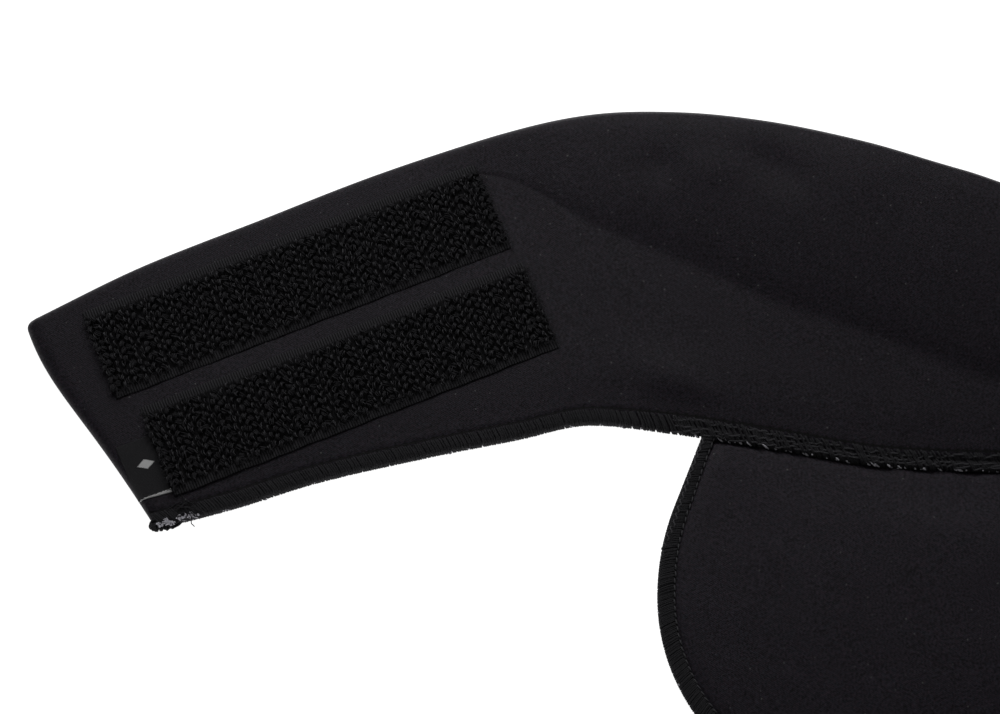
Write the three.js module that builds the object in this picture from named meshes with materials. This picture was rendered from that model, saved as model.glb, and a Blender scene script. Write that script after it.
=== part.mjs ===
// A padded sport neck guard, lying open on a table with its inner face up.
// A wide collar band, thicker at the throat, carries a flat bib under its hem. Two loop strips
// and a small label lie on the left tab, and the hook patch that they take is under the right tab.
// Millimetres, +Z up, X along the guard, Y from the bib to the chin. In the tables and the shapes
// Y is counted from the collar's hem at the centre, and the whole guard is moved to its middle last.

import * as THREE from 'three';

const { smoothstep } = THREE.MathUtils;

// The clear space between pieces that lie on each other
const gap = 0.3;

// Collar: the hem is pressed flat by its stitching, the top and the tabs' ends are turned edges
const hemBite = 3.8;
const hemEase = 10;
const hemThickness = 4.3;
const needleGrooveDepth = 0.6;
const hemEdgeRounding = 0.7;
const turnedEdgeRadius = 3.2;
const turnedEdgeLeast = 0.22;
const creaseDip = 0.5;
// Throat pad: a share of its rise is the rolled lower edge, and the rest is a dome towards the top edge
const padRollWidth = 11;
const padFullWidth = 36;
const padRollShare = 0.2;
const padDomePeak = 0.86;
const padDomePower = 1.3;
const padDomeDrop = 0.2;
const tabThickness = 4.6;

// One row for each section of the left half, from the tab's end to the centre: where the hem and
// the top edge lie, how thick the band is, how far the throat pad rises above it, and where the
// pad's lower crease lies between the hem (0) and the top edge (1)
const collarSections = [
  { hemX: -232.2, hemY: -14.6, topX: -266.6, topY: 39.3, thick: tabThickness, rise: 0, crease: 0.9 },
  { hemX: -213, hemY: -9.4, topX: -238.1, topY: 54.5, thick: tabThickness, rise: 0, crease: 0.9 },
  { hemX: -192, hemY: -2.5, topX: -208.1, topY: 67.4, thick: tabThickness, rise: 0, crease: 0.9 },
  { hemX: -166, hemY: 3.8, topX: -177.7, topY: 80.2, thick: tabThickness, rise: 0, crease: 0.92 },
  { hemX: -143, hemY: 8.6, topX: -147.2, topY: 90.8, thick: tabThickness, rise: 0.7, crease: 0.84 },
  { hemX: -125, hemY: 12.5, topX: -124, topY: 95.6, thick: 4.7, rise: 3.4, crease: 0.65 },
  { hemX: -104, hemY: 10, topX: -101, topY: 95.5, thick: 4.7, rise: 6.2, crease: 0.54 },
  { hemX: -79, hemY: 5.9, topX: -78, topY: 92.3, thick: 4.8, rise: 8, crease: 0.46 },
  { hemX: -53, hemY: 1.4, topX: -54, topY: 86.6, thick: 4.8, rise: 8.6, crease: 0.42 },
  { hemX: -27, hemY: 0, topX: -30, topY: 78.8, thick: 4.8, rise: 8.9, crease: 0.34 },
  { hemX: 0, hemY: 0, topX: 0, topY: 70, thick: 4.8, rise: 9, crease: 0.27 },
];
const collarPeak = 95.9;
const stationsPerRow = 3;
const endStations = [0, 0.35, 1.1, 2.2];
const endRowSpacing = 26;
// A tab's end bows out a little, most near its top corner, over this reach
const endBow = 1.9;
const endBowPower = 2.4;
const endBowReach = 26;

// Bib: its sides lean in above the place where it is widest, and its top is tucked under the hem
const bibThickness = 3;
const bibEdgeRounding = 0.9;
const bibHalfWidth = 108.6;
const bibWidestY = -32.8;
const bibSideRadius = 66;
const bibSideLean = THREE.MathUtils.degToRad(21.5);
const bibCornerRadius = 52;
const bibBottomBow = THREE.MathUtils.degToRad(4);
const bibTuck = 8;
const bibTopRise = 8.5;
const bibSideCentreX = bibHalfWidth - bibSideRadius;
const bibCornerCentreX = bibHalfWidth - bibCornerRadius;
const bibBowRadius = bibCornerRadius + bibCornerCentreX / Math.sin(bibBottomBow);
const bibBowCentreY = bibWidestY + (bibBowRadius - bibCornerRadius) * Math.cos(bibBottomBow);
const bibDrop = bibBowRadius - bibBowCentreY;

// Where the collar climbs over the bib's top edge, from the hem and along the guard. Its stitching
// presses it thin there, so its inner face climbs by a small share only.
const seamLift = bibThickness + gap;
const seamFaceShare = 0.2;
const seamLiftFlat = 11;
const seamLiftEnd = 28;
const seamRampStart = 100;
const seamRampEnd = 122;

// Loop strips: a woven base with a bare selvedge each side of the standing pile
const stripWidth = 25;
const stripBase = 0.7;
const pileTop = 2;
const selvedge = 2.7;
const stripTurn = THREE.MathUtils.degToRad(22.4);
const strips = [
  { name: 'loop_strip_upper', x: -198.3, y: 50.2, length: 106.4 },
  { name: 'loop_strip_lower', x: -184.6, y: 24.1, length: 102.8 },
];

// Label: it lies against the lower strip's outer end
const labelWidth = 9;
const labelHeight = 16;
const labelThickness = 0.6;
const labelAcross = -3;

// Hook patch, and where the right tab climbs onto it
const patchLength = 60;
const patchWidth = 50;
const patchThickness = 2;
const patchCorner = 3;
const patchX = 202.5;
const patchY = 32.5;
const patchLift = patchThickness + gap;
const patchRampStart = 128;
const patchRampEnd = 168;

function material(name, colour, roughness) {
  return new THREE.MeshStandardMaterial({ name, color: colour, roughness, metalness: 0 });
}

function namedMesh(name, geometry, meshMaterial) {
  const mesh = new THREE.Mesh(geometry, meshMaterial);
  mesh.name = name;
  return mesh;
}

// The three curves that carry the section table's columns along the whole guard
function sectionCurves() {
  const mirrored = collarSections.slice(0, -1).reverse();
  const right = mirrored.map((row) => ({ ...row, hemX: -row.hemX, topX: -row.topX }));
  const rows = [...collarSections, ...right];
  const curve = (point) => new THREE.CatmullRomCurve3(rows.map(point), false, 'catmullrom', 0.5);
  return {
    rowGaps: rows.length - 1,
    hem: curve((row) => new THREE.Vector3(row.hemX, row.hemY, 0)),
    top: curve((row) => new THREE.Vector3(row.topX, row.topY, 0)),
    form: curve((row) => new THREE.Vector3(row.thick, row.rise, row.crease)),
  };
}

// How far the bib holds the band's underside off the table at a point
function heldByBib(x, fromHem) {
  const alongBib = 1 - smoothstep(Math.abs(x), seamRampStart, seamRampEnd);
  const acrossBib = 1 - smoothstep(fromHem, seamLiftFlat, seamLiftEnd);
  return seamLift * alongBib * acrossBib;
}

// How far the hook patch holds it off
function heldByPatch(x) {
  return patchLift * smoothstep(x, patchRampStart, patchRampEnd);
}

// Width of the throat pad's rolled lower edge, narrower where the pad itself is narrow
function rollWidth(padWidth) {
  return padRollWidth * Math.min(1, padWidth / padFullWidth);
}

// Distances from the hem at which a section has its points: hem, flat, crease, pad and turned edge
function sectionSteps(width, creaseAt) {
  const hem = [0, hemEdgeRounding, hemBite / 2, hemBite - 1, hemBite, hemBite + 1, hemBite + hemEase];
  const roll = rollWidth(width - creaseAt);
  const crease = [-0.4, -0.15, 0, 0.2, 0.45, 0.7, 1].map((share) => creaseAt + share * roll);
  const turned = [1, 0.62, 0.3, 0.1, 0].map((share) => width - share * turnedEdgeRadius);
  const between = (from, to, shares) => shares.map((share) => from + share * (to - from));
  const flat = between(hem.at(-1), crease[0], [0.5]);
  const pad = between(crease.at(-1), turned[0], [0.25, 0.5, 0.75, 0.9]);
  return [...hem, ...flat, ...crease, ...pad, ...turned];
}

// How far a turned edge has closed, from its least at the edge to 1 where the band is full
function turnedShare(fromEdge) {
  const inside = Math.min(1, fromEdge / turnedEdgeRadius);
  return Math.max(turnedEdgeLeast, Math.sqrt(1 - (1 - inside) ** 2));
}

// Low dome of the throat pad, over its width from the crease (0) to the top edge (1)
function domeShare(across) {
  if (across < 0) {
    return 0;
  }
  if (across < padDomePeak) {
    return 1 - (1 - across / padDomePeak) ** padDomePower;
  }
  return 1 - padDomeDrop * ((across - padDomePeak) / (1 - padDomePeak)) ** 2;
}

// Height of the inner face above the underside, at a distance from the hem
function bandHeight(fromHem, width, thick, rise, creaseAt) {
  const roll = rollWidth(width - creaseAt);
  const hemShare = smoothstep(fromHem, hemBite, hemBite + hemEase);
  const groove = needleGrooveDepth * Math.max(0, 1 - Math.abs(fromHem - hemBite));
  const edge = fromHem === 0 ? hemEdgeRounding : 0;
  const flat = hemThickness + (thick - hemThickness) * hemShare - groove - edge;
  const pastCrease = fromHem - creaseAt;
  const rolled = padRollShare * smoothstep(pastCrease, -0.1 * roll, roll);
  const domed = (1 - padRollShare) * domeShare(pastCrease / (width - creaseAt));
  const dip = creaseDip * Math.min(1, rise) * Math.max(0, 1 - Math.abs(pastCrease) / (0.4 * roll));
  return flat + rise * (rolled + domed) - dip;
}

// How far a point of a tab's end bows out, at its share of the way from the hem to the top
function bowAt(share, fromEnd) {
  const fade = Math.max(0, 1 - fromEnd / endBowReach) ** 2;
  return endBow * fade * Math.sin(Math.PI * share ** endBowPower);
}

// One closed section: inner face from hem to top, then the underside back
function collarRing(curves, along) {
  const hem = curves.hem.getPoint(along);
  const top = curves.top.getPoint(along);
  const form = curves.form.getPoint(along);
  const width = hem.distanceTo(top);
  const creaseAt = form.z * width;
  const fromEnd = Math.min(along, 1 - along) * curves.rowGaps * endRowSpacing;
  const up = top.clone().sub(hem).normalize();
  const side = Math.sign(hem.x);
  const outward = new THREE.Vector3(side * up.y, -side * up.x, 0);
  const face = [];
  const under = [];
  for (const step of sectionSteps(width, creaseAt)) {
    const plan = hem.clone().lerp(top, step / width);
    plan.addScaledVector(outward, bowAt(step / width, fromEnd));
    const bibLift = heldByBib(plan.x, step);
    const tabLift = heldByPatch(plan.x);
    const low = tabLift + bibLift;
    const high = tabLift + seamFaceShare * bibLift + bandHeight(step, width, form.x, form.y, creaseAt);
    const full = turnedShare(Math.min(width - step, fromEnd));
    const middle = (low + high) / 2;
    const half = (full * (high - low)) / 2;
    face.push(new THREE.Vector3(plan.x, plan.y, middle + half));
    under.push(new THREE.Vector3(plan.x, plan.y, middle - half));
  }
  return [...face, ...under.reverse()];
}

// Places of the sections along the guard, closer together at the two turned ends
function stationPlaces(rowGaps) {
  const start = endStations.map((distance) => distance / (endRowSpacing * rowGaps));
  const count = rowGaps * stationsPerRow;
  const middle = Array.from({ length: count - 1 }, (_, i) => (i + 1) / count);
  return [...start, ...middle, ...start.map((place) => 1 - place).reverse()];
}

// A solid skinned over closed sections, with each end closed face to underside
function loftGeometry(rings) {
  const size = rings[0].length;
  const last = (rings.length - 1) * size;
  const index = [];
  for (let ring = 0; ring + 1 < rings.length; ring += 1) {
    for (let i = 0; i < size; i += 1) {
      const a = ring * size + i;
      const b = ring * size + ((i + 1) % size);
      index.push(a, a + size, b, b, a + size, b + size);
    }
  }
  for (let i = 0; i + 1 < size / 2; i += 1) {
    const j = size - 1 - i;
    index.push(i, i + 1, j, i + 1, j - 1, j);
    index.push(last + i, last + j, last + i + 1, last + i + 1, last + j, last + j - 1);
  }
  const geometry = new THREE.BufferGeometry().setFromPoints(rings.flat());
  geometry.setIndex(index);
  geometry.computeVertexNormals();
  return geometry;
}

function makeCollar() {
  const curves = sectionCurves();
  const rings = stationPlaces(curves.rowGaps).map((along) => collarRing(curves, along));
  return namedMesh('collar', loftGeometry(rings), material('collar_cloth', 0x1c1a1e, 0.9));
}

function bibShape() {
  const leanX = bibSideCentreX + bibSideRadius * Math.cos(bibSideLean);
  const leanY = bibWidestY + bibSideRadius * Math.sin(bibSideLean);
  const topY = bibTuck + bibTopRise;
  const topX = leanX - (topY - leanY) * Math.tan(bibSideLean);
  const leftBow = -Math.PI / 2 - bibBottomBow;
  const rightBow = -Math.PI / 2 + bibBottomBow;
  const shape = new THREE.Shape();
  shape.moveTo(topX, topY);
  shape.quadraticCurveTo(0, bibTuck - bibTopRise, -topX, topY);
  shape.absarc(-bibSideCentreX, bibWidestY, bibSideRadius, Math.PI - bibSideLean, Math.PI, false);
  shape.absarc(-bibCornerCentreX, bibWidestY, bibCornerRadius, -Math.PI, leftBow, false);
  shape.absarc(0, bibBowCentreY, bibBowRadius, leftBow, rightBow, false);
  shape.absarc(bibCornerCentreX, bibWidestY, bibCornerRadius, rightBow, 0, false);
  shape.absarc(bibSideCentreX, bibWidestY, bibSideRadius, 0, bibSideLean, false);
  return shape;
}

function makeBib() {
  const geometry = new THREE.ExtrudeGeometry(bibShape(), {
    depth: bibThickness - 2 * bibEdgeRounding,
    curveSegments: 18,
    bevelThickness: bibEdgeRounding,
    bevelSize: bibEdgeRounding,
    bevelOffset: -bibEdgeRounding,
    bevelSegments: 2,
  });
  geometry.translate(0, 0, bibEdgeRounding);
  return namedMesh('bib', geometry, material('bib_cloth', 0x1b191d, 0.9));
}

function makeLoopStrip({ name, x, y, length }) {
  const half = stripWidth / 2;
  const pileHalf = half - selvedge;
  const section = new THREE.Shape();
  section.moveTo(-half, 0);
  section.lineTo(half, 0);
  section.lineTo(half, stripBase);
  section.lineTo(pileHalf, stripBase);
  section.lineTo(pileHalf, pileTop);
  section.lineTo(-pileHalf, pileTop);
  section.lineTo(-pileHalf, stripBase);
  section.lineTo(-half, stripBase);
  section.closePath();
  const geometry = new THREE.ExtrudeGeometry(section, { depth: length, bevelEnabled: false });
  geometry.translate(0, 0, -length / 2);
  geometry.rotateX(Math.PI / 2);
  geometry.rotateZ(Math.PI / 2);
  const strip = namedMesh(name, geometry, material('loop_pile', 0x0f0f10, 1));
  strip.position.set(x, y, tabThickness + gap);
  strip.rotation.z = stripTurn;
  return strip;
}

function makeSizeLabel() {
  const { x, y, length } = strips[1];
  const centre = new THREE.Vector2(-(length + labelWidth) / 2 - gap, labelAcross);
  centre.rotateAround(new THREE.Vector2(0, 0), stripTurn);
  const geometry = new THREE.BoxGeometry(labelWidth, labelHeight, labelThickness);
  const label = namedMesh('size_label', geometry, material('label_weave', 0x161616, 0.6));
  label.position.set(x + centre.x, y + centre.y, tabThickness + gap + labelThickness / 2);
  label.rotation.z = stripTurn;
  return label;
}

function makeHookPatch() {
  const halfLength = patchLength / 2;
  const halfWidth = patchWidth / 2;
  const x = halfLength - patchCorner;
  const y = halfWidth - patchCorner;
  const outline = new THREE.Shape();
  outline.absarc(x, y, patchCorner, 0, Math.PI / 2, false);
  outline.absarc(-x, y, patchCorner, Math.PI / 2, Math.PI, false);
  outline.absarc(-x, -y, patchCorner, Math.PI, 1.5 * Math.PI, false);
  outline.absarc(x, -y, patchCorner, 1.5 * Math.PI, 2 * Math.PI, false);
  outline.closePath();
  const settings = { depth: patchThickness, curveSegments: 5, bevelEnabled: false };
  const geometry = new THREE.ExtrudeGeometry(outline, settings);
  const patch = namedMesh('hook_patch', geometry, material('hook_plastic', 0x121213, 0.7));
  patch.position.set(patchX, patchY, 0);
  patch.rotation.z = -stripTurn;
  return patch;
}

const neckGuard = new THREE.Group();
neckGuard.name = 'neck_guard';
neckGuard.add(makeCollar(), makeBib(), ...strips.map(makeLoopStrip), makeSizeLabel(), makeHookPatch());
neckGuard.position.y = (bibDrop - collarPeak) / 2;

export default neckGuard;
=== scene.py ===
import math
from contextlib import contextmanager

import bmesh
import bpy
import numpy as np
from mathutils import Matrix, Vector
from mathutils.bvhtree import BVHTree


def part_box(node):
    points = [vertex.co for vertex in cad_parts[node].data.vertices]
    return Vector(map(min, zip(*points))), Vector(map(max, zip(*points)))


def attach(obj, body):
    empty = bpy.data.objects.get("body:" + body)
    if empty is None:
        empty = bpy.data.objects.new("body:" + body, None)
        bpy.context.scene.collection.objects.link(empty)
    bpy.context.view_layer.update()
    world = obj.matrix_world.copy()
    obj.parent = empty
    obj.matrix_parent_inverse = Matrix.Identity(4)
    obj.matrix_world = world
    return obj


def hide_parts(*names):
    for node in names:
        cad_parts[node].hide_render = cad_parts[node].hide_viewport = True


# A padded sport neck guard, lying open with its inner face up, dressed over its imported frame.
# The tables give millimetres in the frame's axes, with Y counted from the collar's hem at the
# centre, as the part's source does, and every mesh is moved into the frame in metres at the end.

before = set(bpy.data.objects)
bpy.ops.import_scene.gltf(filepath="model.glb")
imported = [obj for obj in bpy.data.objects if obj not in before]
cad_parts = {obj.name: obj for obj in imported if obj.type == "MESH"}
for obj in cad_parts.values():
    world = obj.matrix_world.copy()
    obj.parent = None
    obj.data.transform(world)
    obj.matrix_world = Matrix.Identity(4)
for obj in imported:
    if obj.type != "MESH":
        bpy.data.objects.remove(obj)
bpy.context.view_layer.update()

MM = 0.001
STRIP_CENTRE_Y = 50.2
strip_low, strip_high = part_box("loop_strip_upper")
HEM_SHIFT = (strip_low.y + strip_high.y) / 2 / MM - STRIP_CENTRE_Y

# Collar: one row for each section of the left half, from the tab's end to the centre, with the hem
# and the top edge in plan, the thickness, the throat pad's rise and the crease's share of the width
HEM, TOP, THICK, RISE, CREASE = slice(0, 2), slice(2, 4), 4, 5, 6
SECTION_ROWS = (
    (-232.2, -14.6, -266.6, 39.3, 4.6, 0.0, 0.98),
    (-213.0, -9.4, -238.1, 54.5, 4.6, 0.0, 0.98),
    (-192.0, -2.5, -208.1, 67.4, 4.6, 0.0, 0.98),
    (-166.0, 3.8, -177.7, 80.2, 4.6, 0.0, 0.98),
    (-143.0, 8.6, -147.2, 90.8, 4.6, 1.3, 0.845),
    (-125.0, 12.5, -124.0, 95.6, 4.7, 3.6, 0.64),
    (-104.0, 10.0, -101.0, 95.5, 4.7, 6.2, 0.54),
    (-79.0, 5.9, -78.0, 92.3, 4.8, 8.0, 0.45),
    (-53.0, 1.4, -54.0, 86.6, 4.8, 8.6, 0.405),
    (-27.0, 0.0, -30.0, 78.8, 4.8, 8.9, 0.322),
    (0.0, 0.0, 0.0, 70.0, 4.8, 9.0, 0.255),
)
MIRROR_SIGNS = (-1, 1, -1, 1, 1, 1, 1)
ROW_GAPS = 2 * (len(SECTION_ROWS) - 1)
STATIONS_PER_ROW = 22
ARC_POINTS = 4001
END_ROW_SPACING = 26.0
END_STATIONS = (0.0, 0.03, 0.12, 0.28, 0.5, 0.8, 1.15)
END_BOW = 1.9
END_BOW_POWER = 2.4
END_BOW_REACH = 26.0
TAB_CORNER = 2.0
HEM_BITE = 3.6
HEM_STEP = (HEM_BITE - 0.9, HEM_BITE + 0.1)
HEM_EASE = 10.0
HEM_THICKNESS = 4.3
HEM_CORE = 3.78
HEM_CORE_INSET = 0.5
HEM_EDGE_RADIUS = 1.3
THREAD_ROOM = 0.45
THREAD_ROOM_RAMP = (3.4, 5.0)
THINNEST = 0.15
NEEDLE_AT = 3.9
NEEDLE_GROOVE = 0.2
NEEDLE_GROOVE_REACH = 0.8
PUCKER = 0.08
PUCKER_AT = 4.6
PUCKER_REACH = 0.8
TURNED_RADIUS = 2.8
CREASE_DIP = 0.12
CREASE_DIP_SHARE = 0.3
CREASE_EASE = 5.0
CREASE_EASE_POWER = 0.5
CREASE_DROP = 0.8
RISE_FADE = 1.2
PAD_ROLL = 11.0
PAD_FULL_WIDTH = 36.0
PAD_ROLL_POWER = 2.0
PAD_ROLL_SHARE = 0.22
PAD_DOME_PEAK = 0.86
PAD_DOME_POWER = 1.3
PAD_DOME_DROP = 0.2

# Points across a section: from the hem, as shares of the pad's roll, and of the turned edge's radius
HEM_STEPS = (0, 0.06, 0.2, 0.45, 0.8, 1.3, 1.8, 2.3, 2.7, 3.1, 3.4, 3.8, 4.3, 4.9, 5.6, 6.4, 7.4, 8.6)
CREASE_SHARES = (-0.3, -0.2, -0.12, -0.06, 0, 0.05, 0.1, 0.16, 0.24, 0.33, 0.44, 0.56, 0.7, 0.85, 1)
EDGE_SHARES = (1, 0.82, 0.66, 0.52, 0.4, 0.29, 0.2, 0.12, 0.06, 0.02, 0)
FLAT_STEPS = 30
PAD_STEPS = 22

# How the band is held off the floor by the bib under its hem and by the hook patch. Over the bib
# the stitching is wider and presses the hem and the bib thin. The hem's underside is lifted there,
# and its face slopes down a little and has an uneven groove.
SEAM_HALF = 104.0
SEAM_LIFT = 1.3
SEAM_SLOPE = 0.9
SEAM_BITE = 1.25
SEAM_GROOVE = 0.75
SEAM_GROOVE_AT = 2.2
SEAM_GROOVE_REACH = 0.45
SEAM_GROOVE_FADE = 8.0
SEAM_GROOVE_MEAN = 0.55
SEAM_GROOVE_WAVES = (8.3, 19.0)
SEAM_LIFT_FLAT = 11.0
SEAM_LIFT_END = 28.0
SEAM_RAMP = (100.0, 122.0)
PATCH_LIFT = 2.3
PATCH_RAMP = (128.0, 168.0)

# Soft dents and swells of the cloth: place, half sizes along and across, turn and height
DENT_ROWS = (
    (-107.0, 79.5, 8.0, 5.5, -10.0, -0.65),
    (-94.0, 78.0, 9.0, 5.5, 0.0, 0.55),
    (-77.5, 78.5, 10.0, 5.0, -38.0, -1.15),
    (-58.0, 73.0, 8.0, 6.0, -20.0, 0.40),
    (-40.0, 62.0, 26.0, 11.0, -20.0, -0.35),
    (-103.0, 24.0, 11.0, 5.5, -27.0, 0.95),
    (-150.0, 40.0, 14.0, 10.0, 30.0, 0.20),
    (70.0, 80.0, 8.0, 12.0, -12.0, -0.45),
    (110.0, 82.0, 12.0, 8.0, 0.0, 0.30),
    (103.0, 22.0, 9.0, 5.0, 24.0, 0.60),
    (205.0, 30.0, 16.0, 26.0, 20.0, 0.25),
)
BROAD_WAVES = 0.10
FINE_WAVES = 0.05
RELIEF_RAMP = (4.5, 12.0)

# Swell of the cloth between its sewn lines, worked out as cloth under pressure on a coarse sheet
SWELL_FRAMES = 16
SWELL_PRESSURE = 4.0
SWELL_CAP = 0.5
SWELL_STATIONS = 4
SWELL_STEPS = 3
SWELL_NET = 4.0
HELD_AT_HEM = 8.0
HELD_AT_EDGE = 5.0
HELD_AT_END = 8.0
HELD_BELOW_CREASE = 2.0
HELD_ROLL_SHARE = 0.4
HELD_ROUND_TAPE = 1.0
HELD_AT_BIB_EDGE = 7.0

# Bib: its sides lean in above the place where it is widest
BIB_THICKNESS = 3.0
BIB_HALF_WIDTH = 108.6
BIB_WIDEST_Y = -32.8
BIB_SIDE_RADIUS = 66.0
BIB_SIDE_LEAN = math.radians(21.5)
BIB_CORNER_RADIUS = 52.0
BIB_BOTTOM_BOW = math.radians(4.0)
BIB_TUCK = 8.0
BIB_TOP_RISE = 8.5
BIB_CENTRE = (0.0, -35.0)
BIB_OUTLINE_POINTS = {"straight": 60, "side": 60, "corner": 140, "bow": 120, "top": 300}
BIB_STATIONS = 760
BIB_CORNER_TURN = 26.0
BIB_BITE = 4.3
BIB_BITE_ROWS = ((12.0, 3.1), (45.0, 4.3))
BIB_EASE = 4.0
BIB_GROOVE = 0.4
BIB_TUCKED = 1.15
BIB_TUCK_RAMP = (-0.4, 0.8)
BIB_PRESSED = 0.5
BIB_PRESSED_REACH = 7.0
BIB_EDGE_CORE = 2.5
BIB_EDGE_RADIUS = 1.1
BIB_THREAD_ROOM = 0.4
BIB_THREAD_ROOM_RAMP = (3.8, 5.4)
BIB_CROWN = 1.7
BIB_CROWN_RAMP = (5.0, 45.0)
BIB_RELIEF_RAMP = (5.0, 14.0)
BIB_RELIEF_SHIFT = (31.0, -60.0)
BIB_RELIEF_STRETCH = 1.3
BIB_BELOW_HEM_RAMP = (3.0, 18.0)
BIB_RINGS = (0, 0.05, 0.18, 0.4, 0.75, 1.1, 1.6, 2.2, 2.8, 3.3, 3.8, 4.3, 4.8, 5.3, 5.8)
BIB_EVEN_RINGS = (6.2, 12.0, 0.4)
BIB_CENTRE_SHARES = (0.05, 0.1, 0.16, 0.23, 0.31, 0.4, 0.5, 0.6, 0.7, 0.8, 0.9, 1.0)
BIB_CENTRE_REACH = 40.0

# Overlock: one thread of a stitch, from the needle line over the edge and back under, as the way in
# and the height, and how a row of stitches is laid
COLLAR_STITCH = (
    (3.75, 3.3), (3.4, 3.97), (2.9, 4.02), (2.4, 4.0), (2.2, 4.01), (2.0, 4.01), (1.65, 4.02),
    (0.95, 3.9), (0.45, 3.4), (0.28, 2.5), (0.28, 1.4), (0.55, 0.65), (1.2, 0.3), (3.2, 0.29),
)
BIB_STITCH = (
    (4.2, 2.2), (3.8, 2.55), (3.1, 2.7), (2.1, 2.72), (1.2, 2.65), (0.6, 2.35),
    (0.28, 1.8), (0.28, 1.1), (0.55, 0.55), (1.2, 0.3), (2.4, 0.29), (3.6, 0.29),
)
COLLAR_PITCH = 2.35
COLLAR_SLANT = 1.5
SEAM_SLANT = 1.2
SEAM_UNEVENNESS = 2.6
BIB_PITCH = 1.9
BIB_SLANT = 1.6
STRANDS = 4
STRAND_RADIUS = 0.29
BIB_STRAND_RADIUS = 0.9 * STRAND_RADIUS
STRAND_SPREAD = 0.96
STRAND_SHIFT = 0.07
STRAND_WOBBLE = 0.03
UNDERSIDE_HEIGHT = 0.6
FACE_HEIGHT = 2.4
HEM_MARGIN = 0.3
HEM_END = 0.1
BIB_MARGIN = 4.0
STRAND_TAPER = (0.6, 0.9, 1.0, 1.0, 1.0, 0.9, 0.6)

# Looper threads along the seam: their way in from the edge, and the length of their drift
SEAM_LOOPERS = ((0.85, 13.0), (1.45, 21.0), (2.85, 17.0))
LOOPER_RADIUS = 0.27
LOOPER_HEIGHT = 4.08
LOOPER_DRIFT = 0.25
LOOPER_TWIST = 0.22
LOOPER_WANDER = 0.16
LOOPER_UNEVENNESS = 0.08
LOOPER_ARCH = 0.5
LOOPER_FALL = 0.35
LOOPER_FALL_AT = 1.2
LOOPER_LENGTH = 1.3 * COLLAR_PITCH

# Where the bib's outer chain line runs in from the edge, by the distance round from the top corner
CHAIN_ROWS = ((0.0, 0.9), (15.0, 1.0), (26.0, 1.45), (31.0, 1.75), (35.0, 1.1), (37.0, 0.6), (40.0, 0.3))
CHAIN_RADIUS = 0.2
CHAIN_AT_RIM = 0.7
RIM_DROP = 0.5
INNER_CHAIN_LENGTH = 1.55
INNER_CHAIN_HEIGHT = 2.7
INNER_CHAIN_ARCH = 1.4
INNER_CHAIN_LEAN = 0.25
INNER_CHAIN_WANDER = 0.05
OUTER_CHAIN_LENGTH = 2.1
OUTER_CHAIN_HEIGHT = 2.95
OUTER_CHAIN_ARCH = 0.8
OUTER_CHAIN_WAVE = 0.4

# White core fibre: the share of the hem's stitches at which it shows, by distance from the centre,
# and where clumps of it sit at the hem's outer corners
FLECK_ROWS = (
    (0.0, 0.85), (100.0, 0.90), (108.0, 0.40), (118.0, 0.75), (130.0, 0.60),
    (142.0, 0.25), (205.0, 0.20), (216.0, 0.60), (224.0, 1.00), (232.0, 1.00),
)
FLECK_CHANCE = 0.75
FLECK_SIZES = (0.35, 0.6, 0.9, 1.2)
FLECK_RADIUS = 0.24
FLECK_TAPER = (0.4, 0.9, 1.1, 1.0, 0.4)
SEAM_FLECK_HEIGHTS = (2.6, 3.6)
HEM_FLECK_HEIGHTS = (1.2, 2.9)
SEAM_FLECK_IN = 0.3
HEM_FLECK_IN = 0.22
FLECK_LEAN = 0.35
FLECK_FALL = 0.9
FLECK_RAGGED = 0.08
FLECK_WOBBLE = 0.06
BIB_FLECK_CHANCE = 0.4
BIB_FLECK_RADIUS = 0.17
BIB_FLECK_TAPER = (0.4, 1.0, 1.0, 0.4)
BIB_FLECK_HEIGHTS = (1.2, 2.3)
BIB_FLECK_SIZES = (0.3, 0.6)
BIB_FLECK_IN = 0.3
CORNER_CLUMPS = ((230.6, -14.2), (229.6, -13.4), (229.0, -13.7), (226.0, -12.3), (223.6, -11.6))
CLUMP_FIBRES = 60
CLUMP_HEIGHTS = (3.7, 4.4)
CLUMP_Z = 4.0
CLUMP_SPREAD = (0.54, 0.3)
CLUMP_THREAD = 0.17

# Loose fibres, and thread tails at the hem's outer corners
CURL_RISE = 0.35
CURL_LENGTHS = (0.6, 1.3)
KNOT_AT = (229.6, -12.7, 2.0)
KNOT_TAILS = 190
KNOT_RADIUS = 2.7
KNOT_SPREAD = (2.24, 0.84, 0.7)
KNOT_SQUASH = (0.65, 1.3, 1.0)
KNOT_LEAN = 0.27
KNOT_HEIGHTS = (0.3, 3.9)
KNOT_THREAD = 0.3
LOOSE_AT = (228.0, -9.3, 4.4)
LOOSE_TAILS = 14
LOOSE_HEIGHTS = (4.2, 4.8)
LOOSE_SPREAD = (2.4, 1.1, 0.1)
LOOSE_HEADING = 0.2
LOOSE_TURNS = 0.5
LOOSE_THREAD = 0.12

# Loop strips: the place of each one's centre and its length
STRIP_WIDTH = 25.0
STRIP_TURN = math.radians(22.4)
STRIP_Z = 4.9
STRIPS = {
    "loop_strip_upper": (-198.3, 50.2, 106.4),
    "loop_strip_lower": (-184.6, 24.1, 102.8),
}
SELVEDGE = 2.2
SELVEDGE_RIB = 0.68
RIB_HEIGHT = 0.09
RIB_POINTS = 5
EDGE_WANDER = 0.12
EDGE_WAVES = (1.9, 5.3)
EDGE_REACH = 0.5
TAPE_RIM = (0.0, 0.12, 0.4, 1.0, 1.7, 2.4, 3.0, 7.5)
TAPE_RIM_HEIGHTS = (-0.2, 0.0, 0.14, 0.22, 0.26, 0.26, 0.26, 0.26)
TAPE_BACK_SHARES = (0.75, -0.75, -1.0)
TAPE_BACK_HEIGHTS = (-0.28, -0.28, 0.0)
PILE_COLUMN = 1.43
PILE_PITCH = 2.05
PILE_END = 0.5
PILE_REPEAT = 4
PILE_SCATTER = 0.21
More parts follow.
